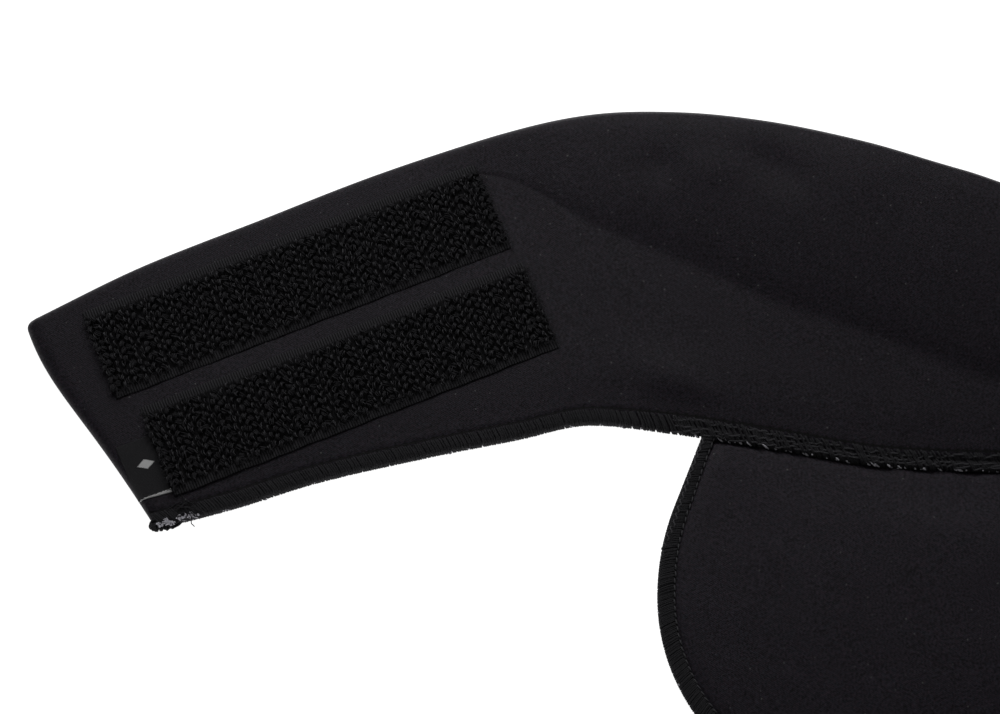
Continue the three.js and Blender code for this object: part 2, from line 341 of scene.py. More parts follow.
PILE_INSET = 0.3
PILE_ROOT_Z = 0.3
ARCH_TURNS = (0.25, 0.12)
ARCH_SHIFT = 0.09
ARCH_SPANS = (0.7, 1.25)
ARCH_HEIGHTS = (0.72, 1.06)
ARCH_BELLY = 0.5
ARCH_SPLAY = 0.4
ARCH_LEAN = 0.3
TUFT_OFFSETS = np.linspace(-0.3, 0.3, 5)
TUFT_SPAN = 1.35
TUFT_RADIUS = 0.13
# Columns of the pile's repeat: which ones, the lean and height of their tufts, and their threads
PILE_COLUMNS = (
    ((0,), 56.0, 1.45, slice(None)),
    ((1,), 124.0, 1.45, slice(None)),
    ((2, 3), 84.0, 1.15, slice(1, None, 2)),
)
LOOP_COLUMNS = ((2, 3), (0, 2))
LOOP_LEAN = math.radians(86.0)
LOOP_SPAN = 0.85
LOOP_HEIGHT = 1.5
LOOP_RADIUS = 0.085
CUT_FIBRES = 170
SELVEDGE_FIBRES = 90
FUZZ_RADIUS = 0.08
FUZZ_HEIGHTS = (0.5, 2.0)
FUZZ_ROOTS = (0.5, 1.6)
FUZZ_TURNS = 0.8
CUT_DEPTH = 2.0
CUT_INSETS = (0.6, 1.2)
SELVEDGE_INSETS = (1.8, 3.2)

# Label with its lozenge, and hook patch. The label's outer lower corner is drawn in both ways.
LABEL_WIDTH = 9.0
LABEL_HEIGHT = 16.0
LABEL_ACROSS = -3.0
LABEL_GAP = 0.3
LABEL_CORNER = (0.4, 1.0)
LABEL_RAISED = 0.22
LABEL_RIPPLE = 0.12
LABEL_RIPPLE_TURNS = (0.9, 0.55)
LABEL_POINTS = (25, 41)
LABEL_THICKNESS = 0.3
RAY_START = 20.0
LOZENGE_CENTRE = (5.4, 9.0)
LOZENGE_HALF = (2.5, 1.5)
LOZENGE_FRAY = 0.3
LOZENGE_EDGE = 1.05
PATCH_CENTRE = (202.5, 32.5)
PATCH_LENGTH = 60.0
PATCH_WIDTH = 50.0
PATCH_CORNER = 3.0
PATCH_BASE = (0.95, 2.0)
HOOK_PITCH = 1.5
HOOK_FIELD = (28.0, 23.0)
HOOK_BEND = (0.0, 0.0, 0.0, 0.18, 0.5, 0.62)
HOOK_DROP = (1.1, 0.6, 0.3, 0.12, 0.15, 0.42)
HOOK_RADIUS = 0.1

# Tones of the cloth, and threads and plastic: grain size, dark and light tone, roughness, gloss and
# depth of the bump
COLLAR_TONE = 0.024
BIB_TONE = 0.029
LINT_TONE = 0.12
# Tone of the painted shade at the needle holes and along the needle thread
PRICK_SHADE_TONE = 0.004
PRICK_REACH = 0.55
KNIT_TURN = math.radians(-12.0)
WARM_TINT = (1.16, 0.95, 0.98, 1.0)
COOL_TINT = (0.86, 1.04, 1.05, 1.0)
FIBRES = {
    "thread_black": (0.22, 0.006, 0.055, 0.85, 0.12, 0.06),
    "thread_chain": (0.22, 0.036, 0.115, 0.75, 0.2, 0.06),
    "thread_looper": (0.16, 0.02, 0.11, 0.85, 0.12, 0.08),
    "core_white": (0.3, 0.35, 0.85, 0.9, 0.1, 0.06),
    "tuft_yarn": (0.18, 0.010, 0.055, 0.9, 0.1, 0.05),
    "loop_nylon": (0.3, 0.04, 0.1, 0.55, 0.3, 0.02),
    "hook_plastic": (0.5, 0.012, 0.025, 0.45, 0.4, 0.03),
}

# Camera of the photograph, light and floor, in metres and watts
CAMERA_ELEVATION = math.radians(70.0)
CAMERA_DISTANCE = 1.0
CAMERA_TARGET = Vector((-147.17, 31.35 + HEM_SHIFT, 0.0)) * MM
CAMERA_LENS = 143.1
KEY_PLACE = (-0.17, 0.34, 0.32)
KEY_TARGET = (-0.13, 0.03, 0.0)
KEY_SIZE = (0.4, 0.26)
KEY_POWER = 0.875
ALL_ROUND = 0.12
FLOOR_HALF = 6.0
FLOOR_DROP = 0.0001


def smoothstep(value, low, high):
    share = np.clip((value - low) / (high - low), 0.0, 1.0)
    return share * share * (3.0 - 2.0 * share)


def rounded(distance, radius):
    """Share of full thickness at a distance from an edge of that radius."""
    inside = np.clip(distance / radius, 0.0, 1.0)
    return np.sqrt(1.0 - (1.0 - inside) ** 2)


def peak(distance, reach):
    """A straight-sided peak of height 1 at no distance, down to 0 at the reach."""
    return np.clip(1.0 - np.abs(distance) / reach, 0.0, 1.0)


def bell(distance, reach):
    return np.exp(-((distance / reach) ** 2))


def to_frame(points):
    """Millimetres of the tables as metres of the frame."""
    return (np.asarray(points) + (0.0, HEM_SHIFT, 0.0)) * MM


def turned(along, across, turn):
    """Plan points given along and across a direction, as x and y."""
    x = along * math.cos(turn) - across * math.sin(turn)
    y = along * math.sin(turn) + across * math.cos(turn)
    return x, y


def with_height(plan, height):
    return np.concatenate([plan, height[..., None]], axis=-1)


@contextmanager
def edited(mesh):
    """A mesh opened to bmesh operators, and written back afterwards."""
    bm = bmesh.new()
    bm.from_mesh(mesh)
    yield bm
    bm.to_mesh(mesh)
    bm.free()


def add_object(name, data):
    thing = bpy.data.objects.new(name, data)
    bpy.context.scene.collection.objects.link(thing)
    return thing


def link(name, mesh, material, slot, *nodes):
    """Makes a finished piece of the guard from its mesh."""
    piece = add_object(name, mesh)
    mesh.materials.clear()
    mesh.materials.append(material)
    mesh.shade_smooth()
    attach(piece, "root")
    if nodes:
        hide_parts(*nodes)
    return piece


def sheet_mesh(name, points):
    """A sheet of faces through a grid of points in millimetres."""
    rows, columns = points.shape[:2]
    mesh = bpy.data.meshes.new(name)
    with edited(mesh) as bm:
        bmesh.ops.create_grid(bm, x_segments=columns - 1, y_segments=rows - 1, size=1.0)
    mesh.vertices.foreach_set("co", to_frame(points.reshape(-1, 3)).ravel())
    return mesh


def skin(name, points, pattern, weld=1e-6):
    """A welded skin over a grid of points, with its pattern in millimetres as a UV map."""
    mesh = sheet_mesh(name, points)
    corners = np.empty(len(mesh.loops), dtype=np.int32)
    mesh.loops.foreach_get("vertex_index", corners)
    uv_map = mesh.uv_layers.new(name="edge_mm")
    uv_map.uv.foreach_set("vector", pattern.reshape(-1, 2)[corners].ravel())
    with edited(mesh) as bm:
        bmesh.ops.remove_doubles(bm, verts=bm.verts, dist=weld)
        bmesh.ops.recalc_face_normals(bm, faces=bm.faces)
    return mesh


def threads(name, paths, radius, sides=6, taper=None):
    """A mesh of round threads, one along each path of points in millimetres."""
    curve = bpy.data.curves.new(name, "CURVE")
    curve.dimensions = "3D"
    curve.bevel_depth = radius * MM
    curve.bevel_resolution = sides // 2 - 2
    curve.use_fill_caps = True
    for path in paths:
        spline = curve.splines.new("POLY")
        spline.points.add(len(path) - 1)
        spline.points.foreach_set("co", np.c_[to_frame(path), np.ones(len(path))].ravel())
        if taper is not None:
            spline.points.foreach_set("radius", taper)
    holder = bpy.data.objects.new(name, curve)
    mesh = bpy.data.meshes.new_from_object(holder)
    mesh.name = name
    bpy.data.objects.remove(holder)
    bpy.data.curves.remove(curve)
    with edited(mesh) as bm:
        bmesh.ops.remove_doubles(bm, verts=bm.verts, dist=1e-7)
    return mesh


def thread_piece(name, paths, radius, material, slot, *nodes, sides=6, taper=None):
    """Makes a finished piece of round threads."""
    return link(name, threads(name, paths, radius, sides, taper), material, slot, *nodes)


def curls(rng, starts, headings, length, points, bend, lift):
    """Loose curly fibres from their starts, as paths of points in millimetres."""
    count = len(starts)
    turns = np.cumsum(rng.normal(0.0, bend, (count, points - 1)), axis=1)
    angles = headings[:, None] + turns
    steps = np.zeros((count, points, 3))
    steps[:, 1:, 0] = np.cos(angles)
    steps[:, 1:, 1] = np.sin(angles)
    steps[:, 1:, 2] = rng.normal(0.0, CURL_RISE, (count, points - 1))
    reach = length * rng.uniform(*CURL_LENGTHS, (count, 1, 1)) / points
    paths = starts[:, None, :] + np.cumsum(steps * reach, axis=1)
    paths[:, :, 2] += lift * np.sin(np.linspace(0.0, math.pi, points))
    return paths


# Swell of the cloth over its foam


def swollen(name, points, sewn):
    """How far a sheet of cloth puffs up off its foam between its sewn points, in millimetres."""
    scene = bpy.context.scene
    mesh = sheet_mesh(name, points)
    sheet = add_object(name, mesh)
    pins = sheet.vertex_groups.new(name="sewn")
    pins.add(np.flatnonzero(sewn).tolist(), 1.0, "REPLACE")
    cloth = sheet.modifiers.new("swell", "CLOTH")
    cloth.point_cache.frame_end = SWELL_FRAMES
    cloth.settings.vertex_group_mass = "sewn"
    cloth.settings.use_pressure = True
    cloth.settings.uniform_pressure_force = SWELL_PRESSURE
    cloth.settings.effector_weights.gravity = 0.0
    for step in range(1, SWELL_FRAMES + 1):
        scene.frame_set(step)
    flat = to_frame(points.reshape(-1, 3))
    puffed = np.empty(flat.size)
    result = sheet.evaluated_get(bpy.context.evaluated_depsgraph_get()).to_mesh()
    result.vertices.foreach_get("co", puffed)
    scene.frame_set(1)
    bpy.data.objects.remove(sheet)
    bpy.data.meshes.remove(mesh)
    rise = (puffed.reshape(-1, 3) - flat)[:, 2].reshape(sewn.shape) / MM
    return SWELL_CAP * np.tanh(rise / SWELL_CAP)


def spline_shares(t):
    """Shares of four neighbours in a cubic B-spline, at a place between the middle two."""
    return (1 - t) ** 3 / 6, (3 * t**3 - 6 * t**2 + 4) / 6, (3 * t + 3 * t**2 - 3 * t**3 + 1) / 6, t**3 / 6


def sampled(table, row, column):
    """A table's values at fractional rows and columns, on smooth curves."""
    low_row = np.clip(np.floor(row).astype(int), 0, table.shape[0] - 1)
    low_column = np.clip(np.floor(column).astype(int), 0, table.shape[1] - 1)
    table = np.pad(table, 2, mode="edge")
    total = 0.0
    for i, row_share in enumerate(spline_shares(row - low_row)):
        for j, column_share in enumerate(spline_shares(column - low_column)):
            total = total + row_share * column_share * table[low_row + i + 1, low_column + j + 1]
    return total


# Materials


def put(tree, kind, inputs=None, **settings):
    node = tree.nodes.new(kind)
    for name, value in settings.items():
        setattr(node, name, value)
    for name, value in (inputs or {}).items():
        if isinstance(value, bpy.types.NodeSocket):
            tree.links.new(value, node.inputs[name])
        else:
            node.inputs[name].default_value = value
    return node


def maths(tree, operation, *values):
    return put(tree, "ShaderNodeMath", dict(enumerate(values)), operation=operation).outputs[0]


def mix_colour(tree, share, first, second, blend="MIX"):
    inputs = {0: share, 6: first, 7: second}
    return put(tree, "ShaderNodeMix", inputs, data_type="RGBA", blend_type=blend).outputs[2]


def ramp(tree, value, low, high, start=0.0, end=1.0):
    inputs = {"Value": value, "From Min": low, "From Max": high, "To Min": start, "To Max": end}
    return put(tree, "ShaderNodeMapRange", inputs).outputs[0]


def noise(tree, place, scale, detail, roughness):
    inputs = {"Vector": place, "Scale": scale, "Detail": detail, "Roughness": roughness}
    return put(tree, "ShaderNodeTexNoise", inputs).outputs["Fac"]


def new_group(name, inputs, outputs):
    group = bpy.data.node_groups.new(name, "ShaderNodeTree")
    for direction, sockets in (("INPUT", inputs), ("OUTPUT", outputs)):
        for socket, kind in sockets.items():
            group.interface.new_socket(name=socket, in_out=direction, socket_type="NodeSocket" + kind)
    return group, put(group, "NodeGroupInput").outputs, put(group, "NodeGroupOutput").inputs


def lint_group():
    """Specks of lint: one in some of the cells of a loose grid, a little ragged."""
    inputs = {"Place": "Vector", "Cell": "Float", "Chance": "Float", "Reach": "Float"}
    tree, enter, leave = new_group("lint_specks", inputs, {"Mask": "Float"})
    scale = maths(tree, "DIVIDE", 1.0, enter["Cell"])
    cells = {"Vector": enter["Place"], "Scale": scale, "Randomness": 1.0}
    lint = put(tree, "ShaderNodeTexVoronoi", cells, voronoi_dimensions="2D")
    draw = put(tree, "ShaderNodeSeparateColor", {0: lint.outputs["Color"]}).outputs
    chosen = maths(tree, "LESS_THAN", draw[0], enter["Chance"])
    fray = noise(tree, enter["Place"], scale=2.4, detail=2.0, roughness=0.7)
    ragged = ramp(tree, fray, 0.3, 0.7, 0.2, 1.9)
    reach = maths(tree, "MULTIPLY", maths(tree, "MULTIPLY", enter["Reach"], ragged), draw[1])
    distance = maths(tree, "MULTIPLY", lint.outputs["Distance"], enter["Cell"])
    near = ramp(tree, maths(tree, "DIVIDE", distance, reach), 0.7, 1.3, 1.0, 0.0)
    tree.links.new(maths(tree, "MULTIPLY", near, chosen), leave["Mask"])
    return tree


def knit_group(lint):
    """Fine black knit: slanted ribs, grain, soft mottling and specks of lint."""
    inputs = {"Place": "Vector", "Ground": "Color", "Raised": "Color", "Speck": "Color"}
    tree, enter, leave = new_group("black_knit", inputs, {"Color": "Color", "Height": "Float"})
    place = enter["Place"]
    wave = {"Vector": place, "Scale": 1.0, "Distortion": 2.6, "Detail": 2.0, "Detail Scale": 1.6}
    ribs = put(tree, "ShaderNodeTexWave", wave, bands_direction="DIAGONAL").outputs["Fac"]
    grain = noise(tree, place, scale=2.2, detail=3.0, roughness=0.75)
    mottle = noise(tree, place, scale=0.13, detail=4.0, roughness=0.6)
    tone = maths(tree, "MULTIPLY_ADD", ribs, 0.16, grain)
    shade = maths(tree, "MULTIPLY", ramp(tree, tone, 0.42, 0.76), ramp(tree, mottle, 0.3, 0.7, 0.92, 1.06))
    cloth = mix_colour(tree, shade, enter["Ground"], enter["Raised"])
    hue = ramp(tree, noise(tree, place, scale=2.6, detail=1.0, roughness=0.5), 0.35, 0.65)
    tint = mix_colour(tree, hue, WARM_TINT, COOL_TINT)
    cloth = mix_colour(tree, 1.0, cloth, tint, "MULTIPLY")
    fine = {"Place": place, "Cell": 2.4, "Chance": 0.4, "Reach": 0.2}
    few = {"Place": place, "Cell": 4.0, "Chance": 0.4, "Reach": 0.16}
    dust = put(tree, "ShaderNodeGroup", fine, node_tree=lint).outputs[0]
    fluff = put(tree, "ShaderNodeGroup", few, node_tree=lint).outputs[0]
    specks = maths(tree, "MAXIMUM", maths(tree, "MULTIPLY", dust, 0.2), fluff)
    tree.links.new(mix_colour(tree, specks, cloth, enter["Speck"]), leave["Color"])
    tree.links.new(tone, leave["Height"])
    return tree


def needle_shade_group():
    """Painted shade of the needle holes: dark spots joined by a thin dark line beside an edge, on the
    edge's own map.
    """
    inputs = {"Edge map": "Vector", "Pitch": "Float", "Line": "Float", "Reach": "Float"}
    tree, enter, leave = new_group("needle_line_shade", inputs, {"Mask": "Float"})
    parts = put(tree, "ShaderNodeSeparateXYZ", {0: enter["Edge map"]}).outputs
    turns = maths(tree, "FRACT", maths(tree, "DIVIDE", parts[0], enter["Pitch"]))
    along = maths(tree, "MULTIPLY", maths(tree, "SUBTRACT", turns, 0.5), enter["Pitch"])
    across = maths(tree, "SUBTRACT", parts[1], enter["Line"])
    squares = maths(tree, "ADD", maths(tree, "POWER", along, 2.0), maths(tree, "POWER", across, 2.0))
    share = maths(tree, "DIVIDE", maths(tree, "SQRT", squares), enter["Reach"])
    # Painted shade: a dark spot at each needle hole and a thin dark line along the thread
    prick_shade = ramp(tree, share, 0.5, 1.2, 1.0, 0.0)
    line = ramp(tree, maths(tree, "ABSOLUTE", across), 0.12, 0.32, 0.9, 0.0)
    tree.links.new(maths(tree, "MAXIMUM", prick_shade, line), leave["Mask"])
    return tree


def fibre_group():
    """Uneven twisted fibre: slanted plies and broken tone, for threads, tapes and weaves."""
    inputs = {"Place": "Vector", "Size": "Float", "Ground": "Color", "Raised": "Color"}
    tree, enter, leave = new_group("twisted_fibre", inputs, {"Color": "Color", "Height": "Float"})
    scale = maths(tree, "DIVIDE", 1.0, enter["Size"])
    tone = noise(tree, enter["Place"], scale, detail=3.0, roughness=0.65)
    wave = {"Vector": enter["Place"], "Scale": scale, "Distortion": 3.0, "Detail": 1.0}
    plies = put(tree, "ShaderNodeTexWave", wave, bands_direction="DIAGONAL").outputs["Fac"]
    height = maths(tree, "MULTIPLY", tone, maths(tree, "ADD", plies, 0.5))
    share = ramp(tree, height, 0.1, 0.8)
    tree.links.new(mix_colour(tree, share, enter["Ground"], enter["Raised"]), leave["Color"])
    tree.links.new(height, leave["Height"])
    return tree


def new_material(name, roughness, specular):
    material = bpy.data.materials.new(name)
    material.use_nodes = True
    tree = material.node_tree
    shader = tree.nodes["Principled BSDF"]
    shader.inputs["Roughness"].default_value = roughness
    shader.inputs["Specular IOR Level"].default_value = specular
    return material, tree, shader


def millimetres(tree, turn=0.0):
    coordinates = put(tree, "ShaderNodeTexCoord").outputs["Object"]
    settings = {"Vector": coordinates, "Scale": (1.0 / MM,) * 3, "Rotation": (0.0, 0.0, turn)}
    return put(tree, "ShaderNodeMapping", settings).outputs[0]


def edge_map(tree):
    return put(tree, "ShaderNodeUVMap", uv_map="edge_mm").outputs[0]


def add_bump(tree, shader, height, depth):
    bump = put(tree, "ShaderNodeBump", {"Height": height, "Distance": depth * MM})
    tree.links.new(bump.outputs[0], shader.inputs["Normal"])


def grey(value):
    return (value, value, value, 1.0)


def ink(value):
    """A thread's black, a little towards blue."""
    return (value * 1.02, value, value * 1.09, 1.0)


def plum_black(value):
    """The cloth's black, a little towards plum."""
    return (value * 1.18, value, value * 1.34, 1.0)


def cloth_material(name, knit, needle, tone, pitch, line):
    material, tree, shader = new_material(name, roughness=0.5, specular=0.13)
    place = millimetres(tree, KNIT_TURN)
    values = {"Place": place, "Ground": plum_black(tone * 0.02), "Raised": plum_black(tone * 1.3)}
    cloth = put(tree, "ShaderNodeGroup", values | {"Speck": grey(LINT_TONE)}, node_tree=knit)
    prick_shade = {"Edge map": edge_map(tree), "Pitch": pitch, "Line": line, "Reach": PRICK_REACH}
    needle_shade_mix = put(tree, "ShaderNodeGroup", prick_shade, node_tree=needle).outputs["Mask"]
    # The needle line is painted shade of the needle holes and of the cloth pulled down by the thread
    colour = mix_colour(tree, needle_shade_mix, cloth.outputs["Color"], grey(PRICK_SHADE_TONE))
    tree.links.new(colour, shader.inputs["Base Color"])
    add_bump(tree, shader, cloth.outputs["Height"], depth=0.1)
    return material


def fibre_material(name, fibre, size, ground, raised, roughness, specular, depth):
    material, tree, shader = new_material(name, roughness, specular)
    values = {"Place": millimetres(tree), "Size": size, "Ground": ink(ground), "Raised": ink(raised)}
    group = put(tree, "ShaderNodeGroup", values, node_tree=fibre)
    tree.links.new(group.outputs["Color"], shader.inputs["Base Color"])
    add_bump(tree, shader, group.outputs["Height"], depth)
    return material


def tape_material(fibre):
    """Woven tape: pale ribs across the selvedges with painted shade between them, and a near-black ground
    under the pile.
    """
    material, tree, shader = new_material("tape_weave", roughness=0.9, specular=0.1)
    values = {"Place": millimetres(tree), "Size": 0.3, "Ground": ink(0.023), "Raised": ink(0.062)}
    weave = put(tree, "ShaderNodeGroup", values, node_tree=fibre)
    parts = put(tree, "ShaderNodeSeparateXYZ", {0: edge_map(tree)}).outputs
    turns = maths(tree, "FRACT", maths(tree, "DIVIDE", parts[0], SELVEDGE_RIB))
    # The hollows between the selvedge's ribs are darkened as painted shade
    rib_gap_shade = ramp(tree, maths(tree, "ABSOLUTE", maths(tree, "SUBTRACT", turns, 0.5)), 0.2, 0.42)
    ribs = mix_colour(tree, rib_gap_shade, weave.outputs["Color"], ink(0.01))
    field = STRIP_WIDTH / 2 - SELVEDGE
    pile = ramp(tree, maths(tree, "ABSOLUTE", parts[1]), field - 0.4, field + 0.2, 1.0, 0.0)
    tree.links.new(mix_colour(tree, pile, ribs, ink(0.012)), shader.inputs["Base Color"])
    add_bump(tree, shader, weave.outputs["Height"], depth=0.08)
    return material


def label_material(fibre):
    """Black woven label with a plain white lozenge and a ragged white line at its lower end."""
    material, tree, shader = new_material("label_weave", roughness=0.75, specular=0.15)
    place = millimetres(tree, -STRIP_TURN)
    rows = {"Vector": place, "Scale": 0.9, "Distortion": 0.6, "Detail": 1.0}
    weave = put(tree, "ShaderNodeTexWave", rows, bands_direction="Y").outputs["Fac"]
    values = {"Place": place, "Size": 0.25, "Ground": ink(0.014), "Raised": ink(0.052)}
    fibres = put(tree, "ShaderNodeGroup", values, node_tree=fibre)
    cloth = mix_colour(tree, ramp(tree, weave, 0.2, 0.8, 0.0, 0.4), fibres.outputs["Color"], ink(0.01))
    across, up = put(tree, "ShaderNodeSeparateXYZ", {0: edge_map(tree)}).outputs[:2]
    lozenge = maths(tree, "MULTIPLY", fibres.outputs["Height"], LOZENGE_FRAY)
    for way, centre, half in zip((across, up), LOZENGE_CENTRE, LOZENGE_HALF):
        away = maths(tree, "ABSOLUTE", maths(tree, "SUBTRACT", way, centre))
        lozenge = maths(tree, "ADD", lozenge, maths(tree, "DIVIDE", away, half))
    width = ramp(tree, across, 0.0, LABEL_WIDTH, 0.7, 1.4)
    torn = noise(tree, place, scale=3.2, detail=3.0, roughness=0.7)
    line = maths(tree, "LESS_THAN", up, maths(tree, "SUBTRACT", width, torn))
    white = maths(tree, "MAXIMUM", maths(tree, "LESS_THAN", lozenge, LOZENGE_EDGE), line)
    tree.links.new(mix_colour(tree, white, cloth, grey(0.8)), shader.inputs["Base Color"])
    add_bump(tree, shader, fibres.outputs["Height"], depth=0.1)
    return material


# Collar


def section_values(places):
    """The section table's columns at places along the guard, on smooth curves through its rows."""
    left = np.array(SECTION_ROWS)
    rows = np.vstack([left, left[-2::-1] * MIRROR_SIGNS])
    rows = np.vstack([2 * rows[0] - rows[1], rows, 2 * rows[-1] - rows[-2]])
    index = np.clip(np.floor(places).astype(int), 0, ROW_GAPS - 1)
    t = (places - index)[..., None]
    a, b, c, d = (rows[index + k] for k in range(4))
    curve = 2 * b + (c - a) * t + (2 * a - 5 * b + 4 * c - d) * t**2 + (3 * (b - c) + d - a) * t**3
    return curve / 2


def over_bib(x):
    """Share by which the hem lies on the bib, 1 along the seam and 0 beyond it."""
    return 1.0 - smoothstep(np.abs(x), *SEAM_RAMP)


def held_by_bib(x, from_hem):
    return SEAM_LIFT * over_bib(x) * (1.0 - smoothstep(from_hem, SEAM_LIFT_FLAT, SEAM_LIFT_END))


def held_by_patch(x):
    return PATCH_LIFT * smoothstep(x, *PATCH_RAMP)


def bite_scale(x):
    return 1.0 + (SEAM_BITE - 1.0) * over_bib(x)


def seam_fall(x, from_hem):
    """How far the seam's stitching lies below the free hem's: its slope and its uneven groove."""
    slope = SEAM_SLOPE * over_bib(x) * (1.0 - smoothstep(from_hem, 0.0, HEM_BITE))
    beside = smoothstep(SEAM_HALF - np.abs(x), 0.0, SEAM_GROOVE_FADE)
    short, long = SEAM_GROOVE_WAVES
    wave = np.sin(x / short + 2.0) * np.sin(x / long)
    uneven = SEAM_GROOVE_MEAN + (1.0 - SEAM_GROOVE_MEAN) * wave
    return slope + SEAM_GROOVE * beside * uneven * bell(from_hem - SEAM_GROOVE_AT, SEAM_GROOVE_REACH)


def end_distance(places):
    return np.minimum(places, ROW_GAPS - places) * END_ROW_SPACING


def collar_plan(places, from_hem):
    """Plan position of points of the band, the band's width and the section values there."""
    values = section_values(places)
    hem = values[..., HEM]
    span = values[..., TOP] - hem
    width = np.linalg.norm(span, axis=-1)
    up = span / width[..., None]
    side = np.sign(hem[..., :1])
    outward = np.concatenate([side * up[..., 1:], -side * up[..., :1]], axis=-1)
    fade = np.clip(1.0 - end_distance(places) / END_BOW_REACH, 0.0, 1.0) ** 2
    share = np.clip(from_hem / width, 0.0, 1.0)
    bow = END_BOW * fade * np.sin(math.pi * share**END_BOW_POWER)
    past_end = np.clip(TAB_CORNER - end_distance(places), 0.0, None)
    past_top = np.clip(TAB_CORNER - width + from_hem, 0.0, None)
    cut = 1.0 - np.maximum(past_end, past_top) / np.maximum(np.hypot(past_end, past_top), 1e-9)
    plan = hem + up * (from_hem - cut * past_top)[..., None]
    plan = plan + outward * (bow - cut * past_end)[..., None]
    return plan, width, values


def crease_roll(pad_width):
    return PAD_ROLL * np.minimum(1.0, pad_width / PAD_FULL_WIDTH)


def pad_swell(past, pad_width):
    """Share of the throat pad's rise: its rolled lower edge and the low dome above it."""
    ease = CREASE_EASE * (crease_roll(pad_width) / PAD_ROLL) ** CREASE_EASE_POWER
    past = (past + CREASE_DROP + np.hypot(past + CREASE_DROP, ease)) / 2
    rolled = 1.0 - (1.0 - np.clip(past / crease_roll(pad_width), 0.0, 1.0)) ** PAD_ROLL_POWER
    across = past / pad_width - PAD_DOME_PEAK
    rising = 1.0 - np.abs(across / PAD_DOME_PEAK) ** PAD_DOME_POWER
    falling = 1.0 - PAD_DOME_DROP * (across / (1.0 - PAD_DOME_PEAK)) ** 2
    domed = np.where(across < 0.0, rising, falling)
    return PAD_ROLL_SHARE * rolled + (1.0 - PAD_ROLL_SHARE) * domed


def band_height(from_hem, stitched, width, values):
    """Height of the inner face above the underside: hem, needle groove, crease and throat pad."""
    crease_at = values[..., CREASE] * width
    rise = values[..., RISE] * smoothstep(values[..., RISE], 0.0, RISE_FADE)
    past = from_hem - crease_at
    eased = smoothstep(from_hem, HEM_BITE, HEM_BITE + HEM_EASE)
    face = HEM_THICKNESS + (values[..., THICK] - HEM_THICKNESS) * eased
    flat = HEM_CORE + (face - HEM_CORE) * smoothstep(stitched, *HEM_STEP)
    groove = NEEDLE_GROOVE * peak(stitched - NEEDLE_AT, NEEDLE_GROOVE_REACH)
    narrow = CREASE_DIP_SHARE * crease_roll(width - crease_at)
    dip = CREASE_DIP * np.minimum(1.0, rise) * peak(past, narrow)
    return flat - groove + rise * pad_swell(past, width - crease_at) - dip


def soft_relief(x, y):
    """Dents and slow waves of cloth over foam."""
    relief = BROAD_WAVES * np.sin(x / 17.0 + 1.3) * np.sin(y / 13.0 + 0.4)
    relief += FINE_WAVES * np.sin(x / 6.1 + y / 7.7) * np.sin(x / 9.3 - y / 5.9 + 2.0)
    for dent_x, dent_y, half_along, half_across, turn, height in DENT_ROWS:
        along, across = turned(x - dent_x, y - dent_y, -math.radians(turn))
        relief = relief + height * np.exp(-((along / half_along) ** 2 + (across / half_across) ** 2))
    return relief


def face_steps(width, crease_at):
    """Distances from the hem of one section's points, closest at the hem, crease and turned edge."""
    roll = crease_roll(width - crease_at)
    hem = [HEM_CORE_INSET + step for step in HEM_STEPS]
    crease = [crease_at + share * roll for share in CREASE_SHARES]
    edge = [width - share * TURNED_RADIUS for share in EDGE_SHARES]
    flat = np.linspace(hem[-1], crease[0], FLAT_STEPS)[1:-1]
    pad = np.linspace(crease[-1], edge[0], PAD_STEPS)[1:-1]
    return sorted([*hem, *flat, *crease, *pad, *edge])


def collar_places():
    ends = np.array(END_STATIONS) / END_ROW_SPACING
    steps = np.arange(1, ROW_GAPS * STATIONS_PER_ROW) / STATIONS_PER_ROW
    return np.concatenate([ends, steps, ROW_GAPS - ends[::-1]])


def length_along(points):
    return np.concatenate([[0.0], np.cumsum(np.linalg.norm(np.diff(points, axis=0), axis=1))])


def hem_arc():
    """Places along the guard and the hem's length up to each of them."""
    places = np.linspace(0.0, ROW_GAPS, ARC_POINTS)
    return places, length_along(section_values(places)[:, HEM])


def collar_swell(plan, high, steps, width, crease_at, grid):
    """Swell of the inner face, which is held at its hem, crease, edges and ends and under the tapes."""
    past = steps - crease_at
    sewn = (steps < HELD_AT_HEM) | (width - steps < HELD_AT_EDGE) | (end_distance(grid) < HELD_AT_END)
    sewn |= (past > -HELD_BELOW_CREASE) & (past < HELD_ROLL_SHARE * crease_roll(width - crease_at))
    for x, y, length in STRIPS.values():
        along, across = turned(plan[..., 0] - x, plan[..., 1] - y, -STRIP_TURN)
        on_tape = np.abs(along) < length / 2 + LABEL_WIDTH + HELD_ROUND_TAPE
        sewn |= on_tape & (np.abs(across) < STRIP_WIDTH / 2 + HELD_ROUND_TAPE)
    points = with_height(plan, high)[::SWELL_STATIONS, ::SWELL_STEPS]
    coarse = sewn[::SWELL_STATIONS, ::SWELL_STEPS]
    rise = swollen("collar_swell", points.transpose(1, 0, 2), coarse.T)
    station, step = np.indices(steps.shape)
    return sampled(rise, step / SWELL_STEPS, station / SWELL_STATIONS)


def two_faces(plan, high, low, share):
    """Upper and lower face of a pad, drawn together to a share of its thickness at its edges."""
    middle = (high + low) / 2
    half = (high - low) / 2 * share
    return with_height(plan, middle + half), with_height(plan, middle - half)


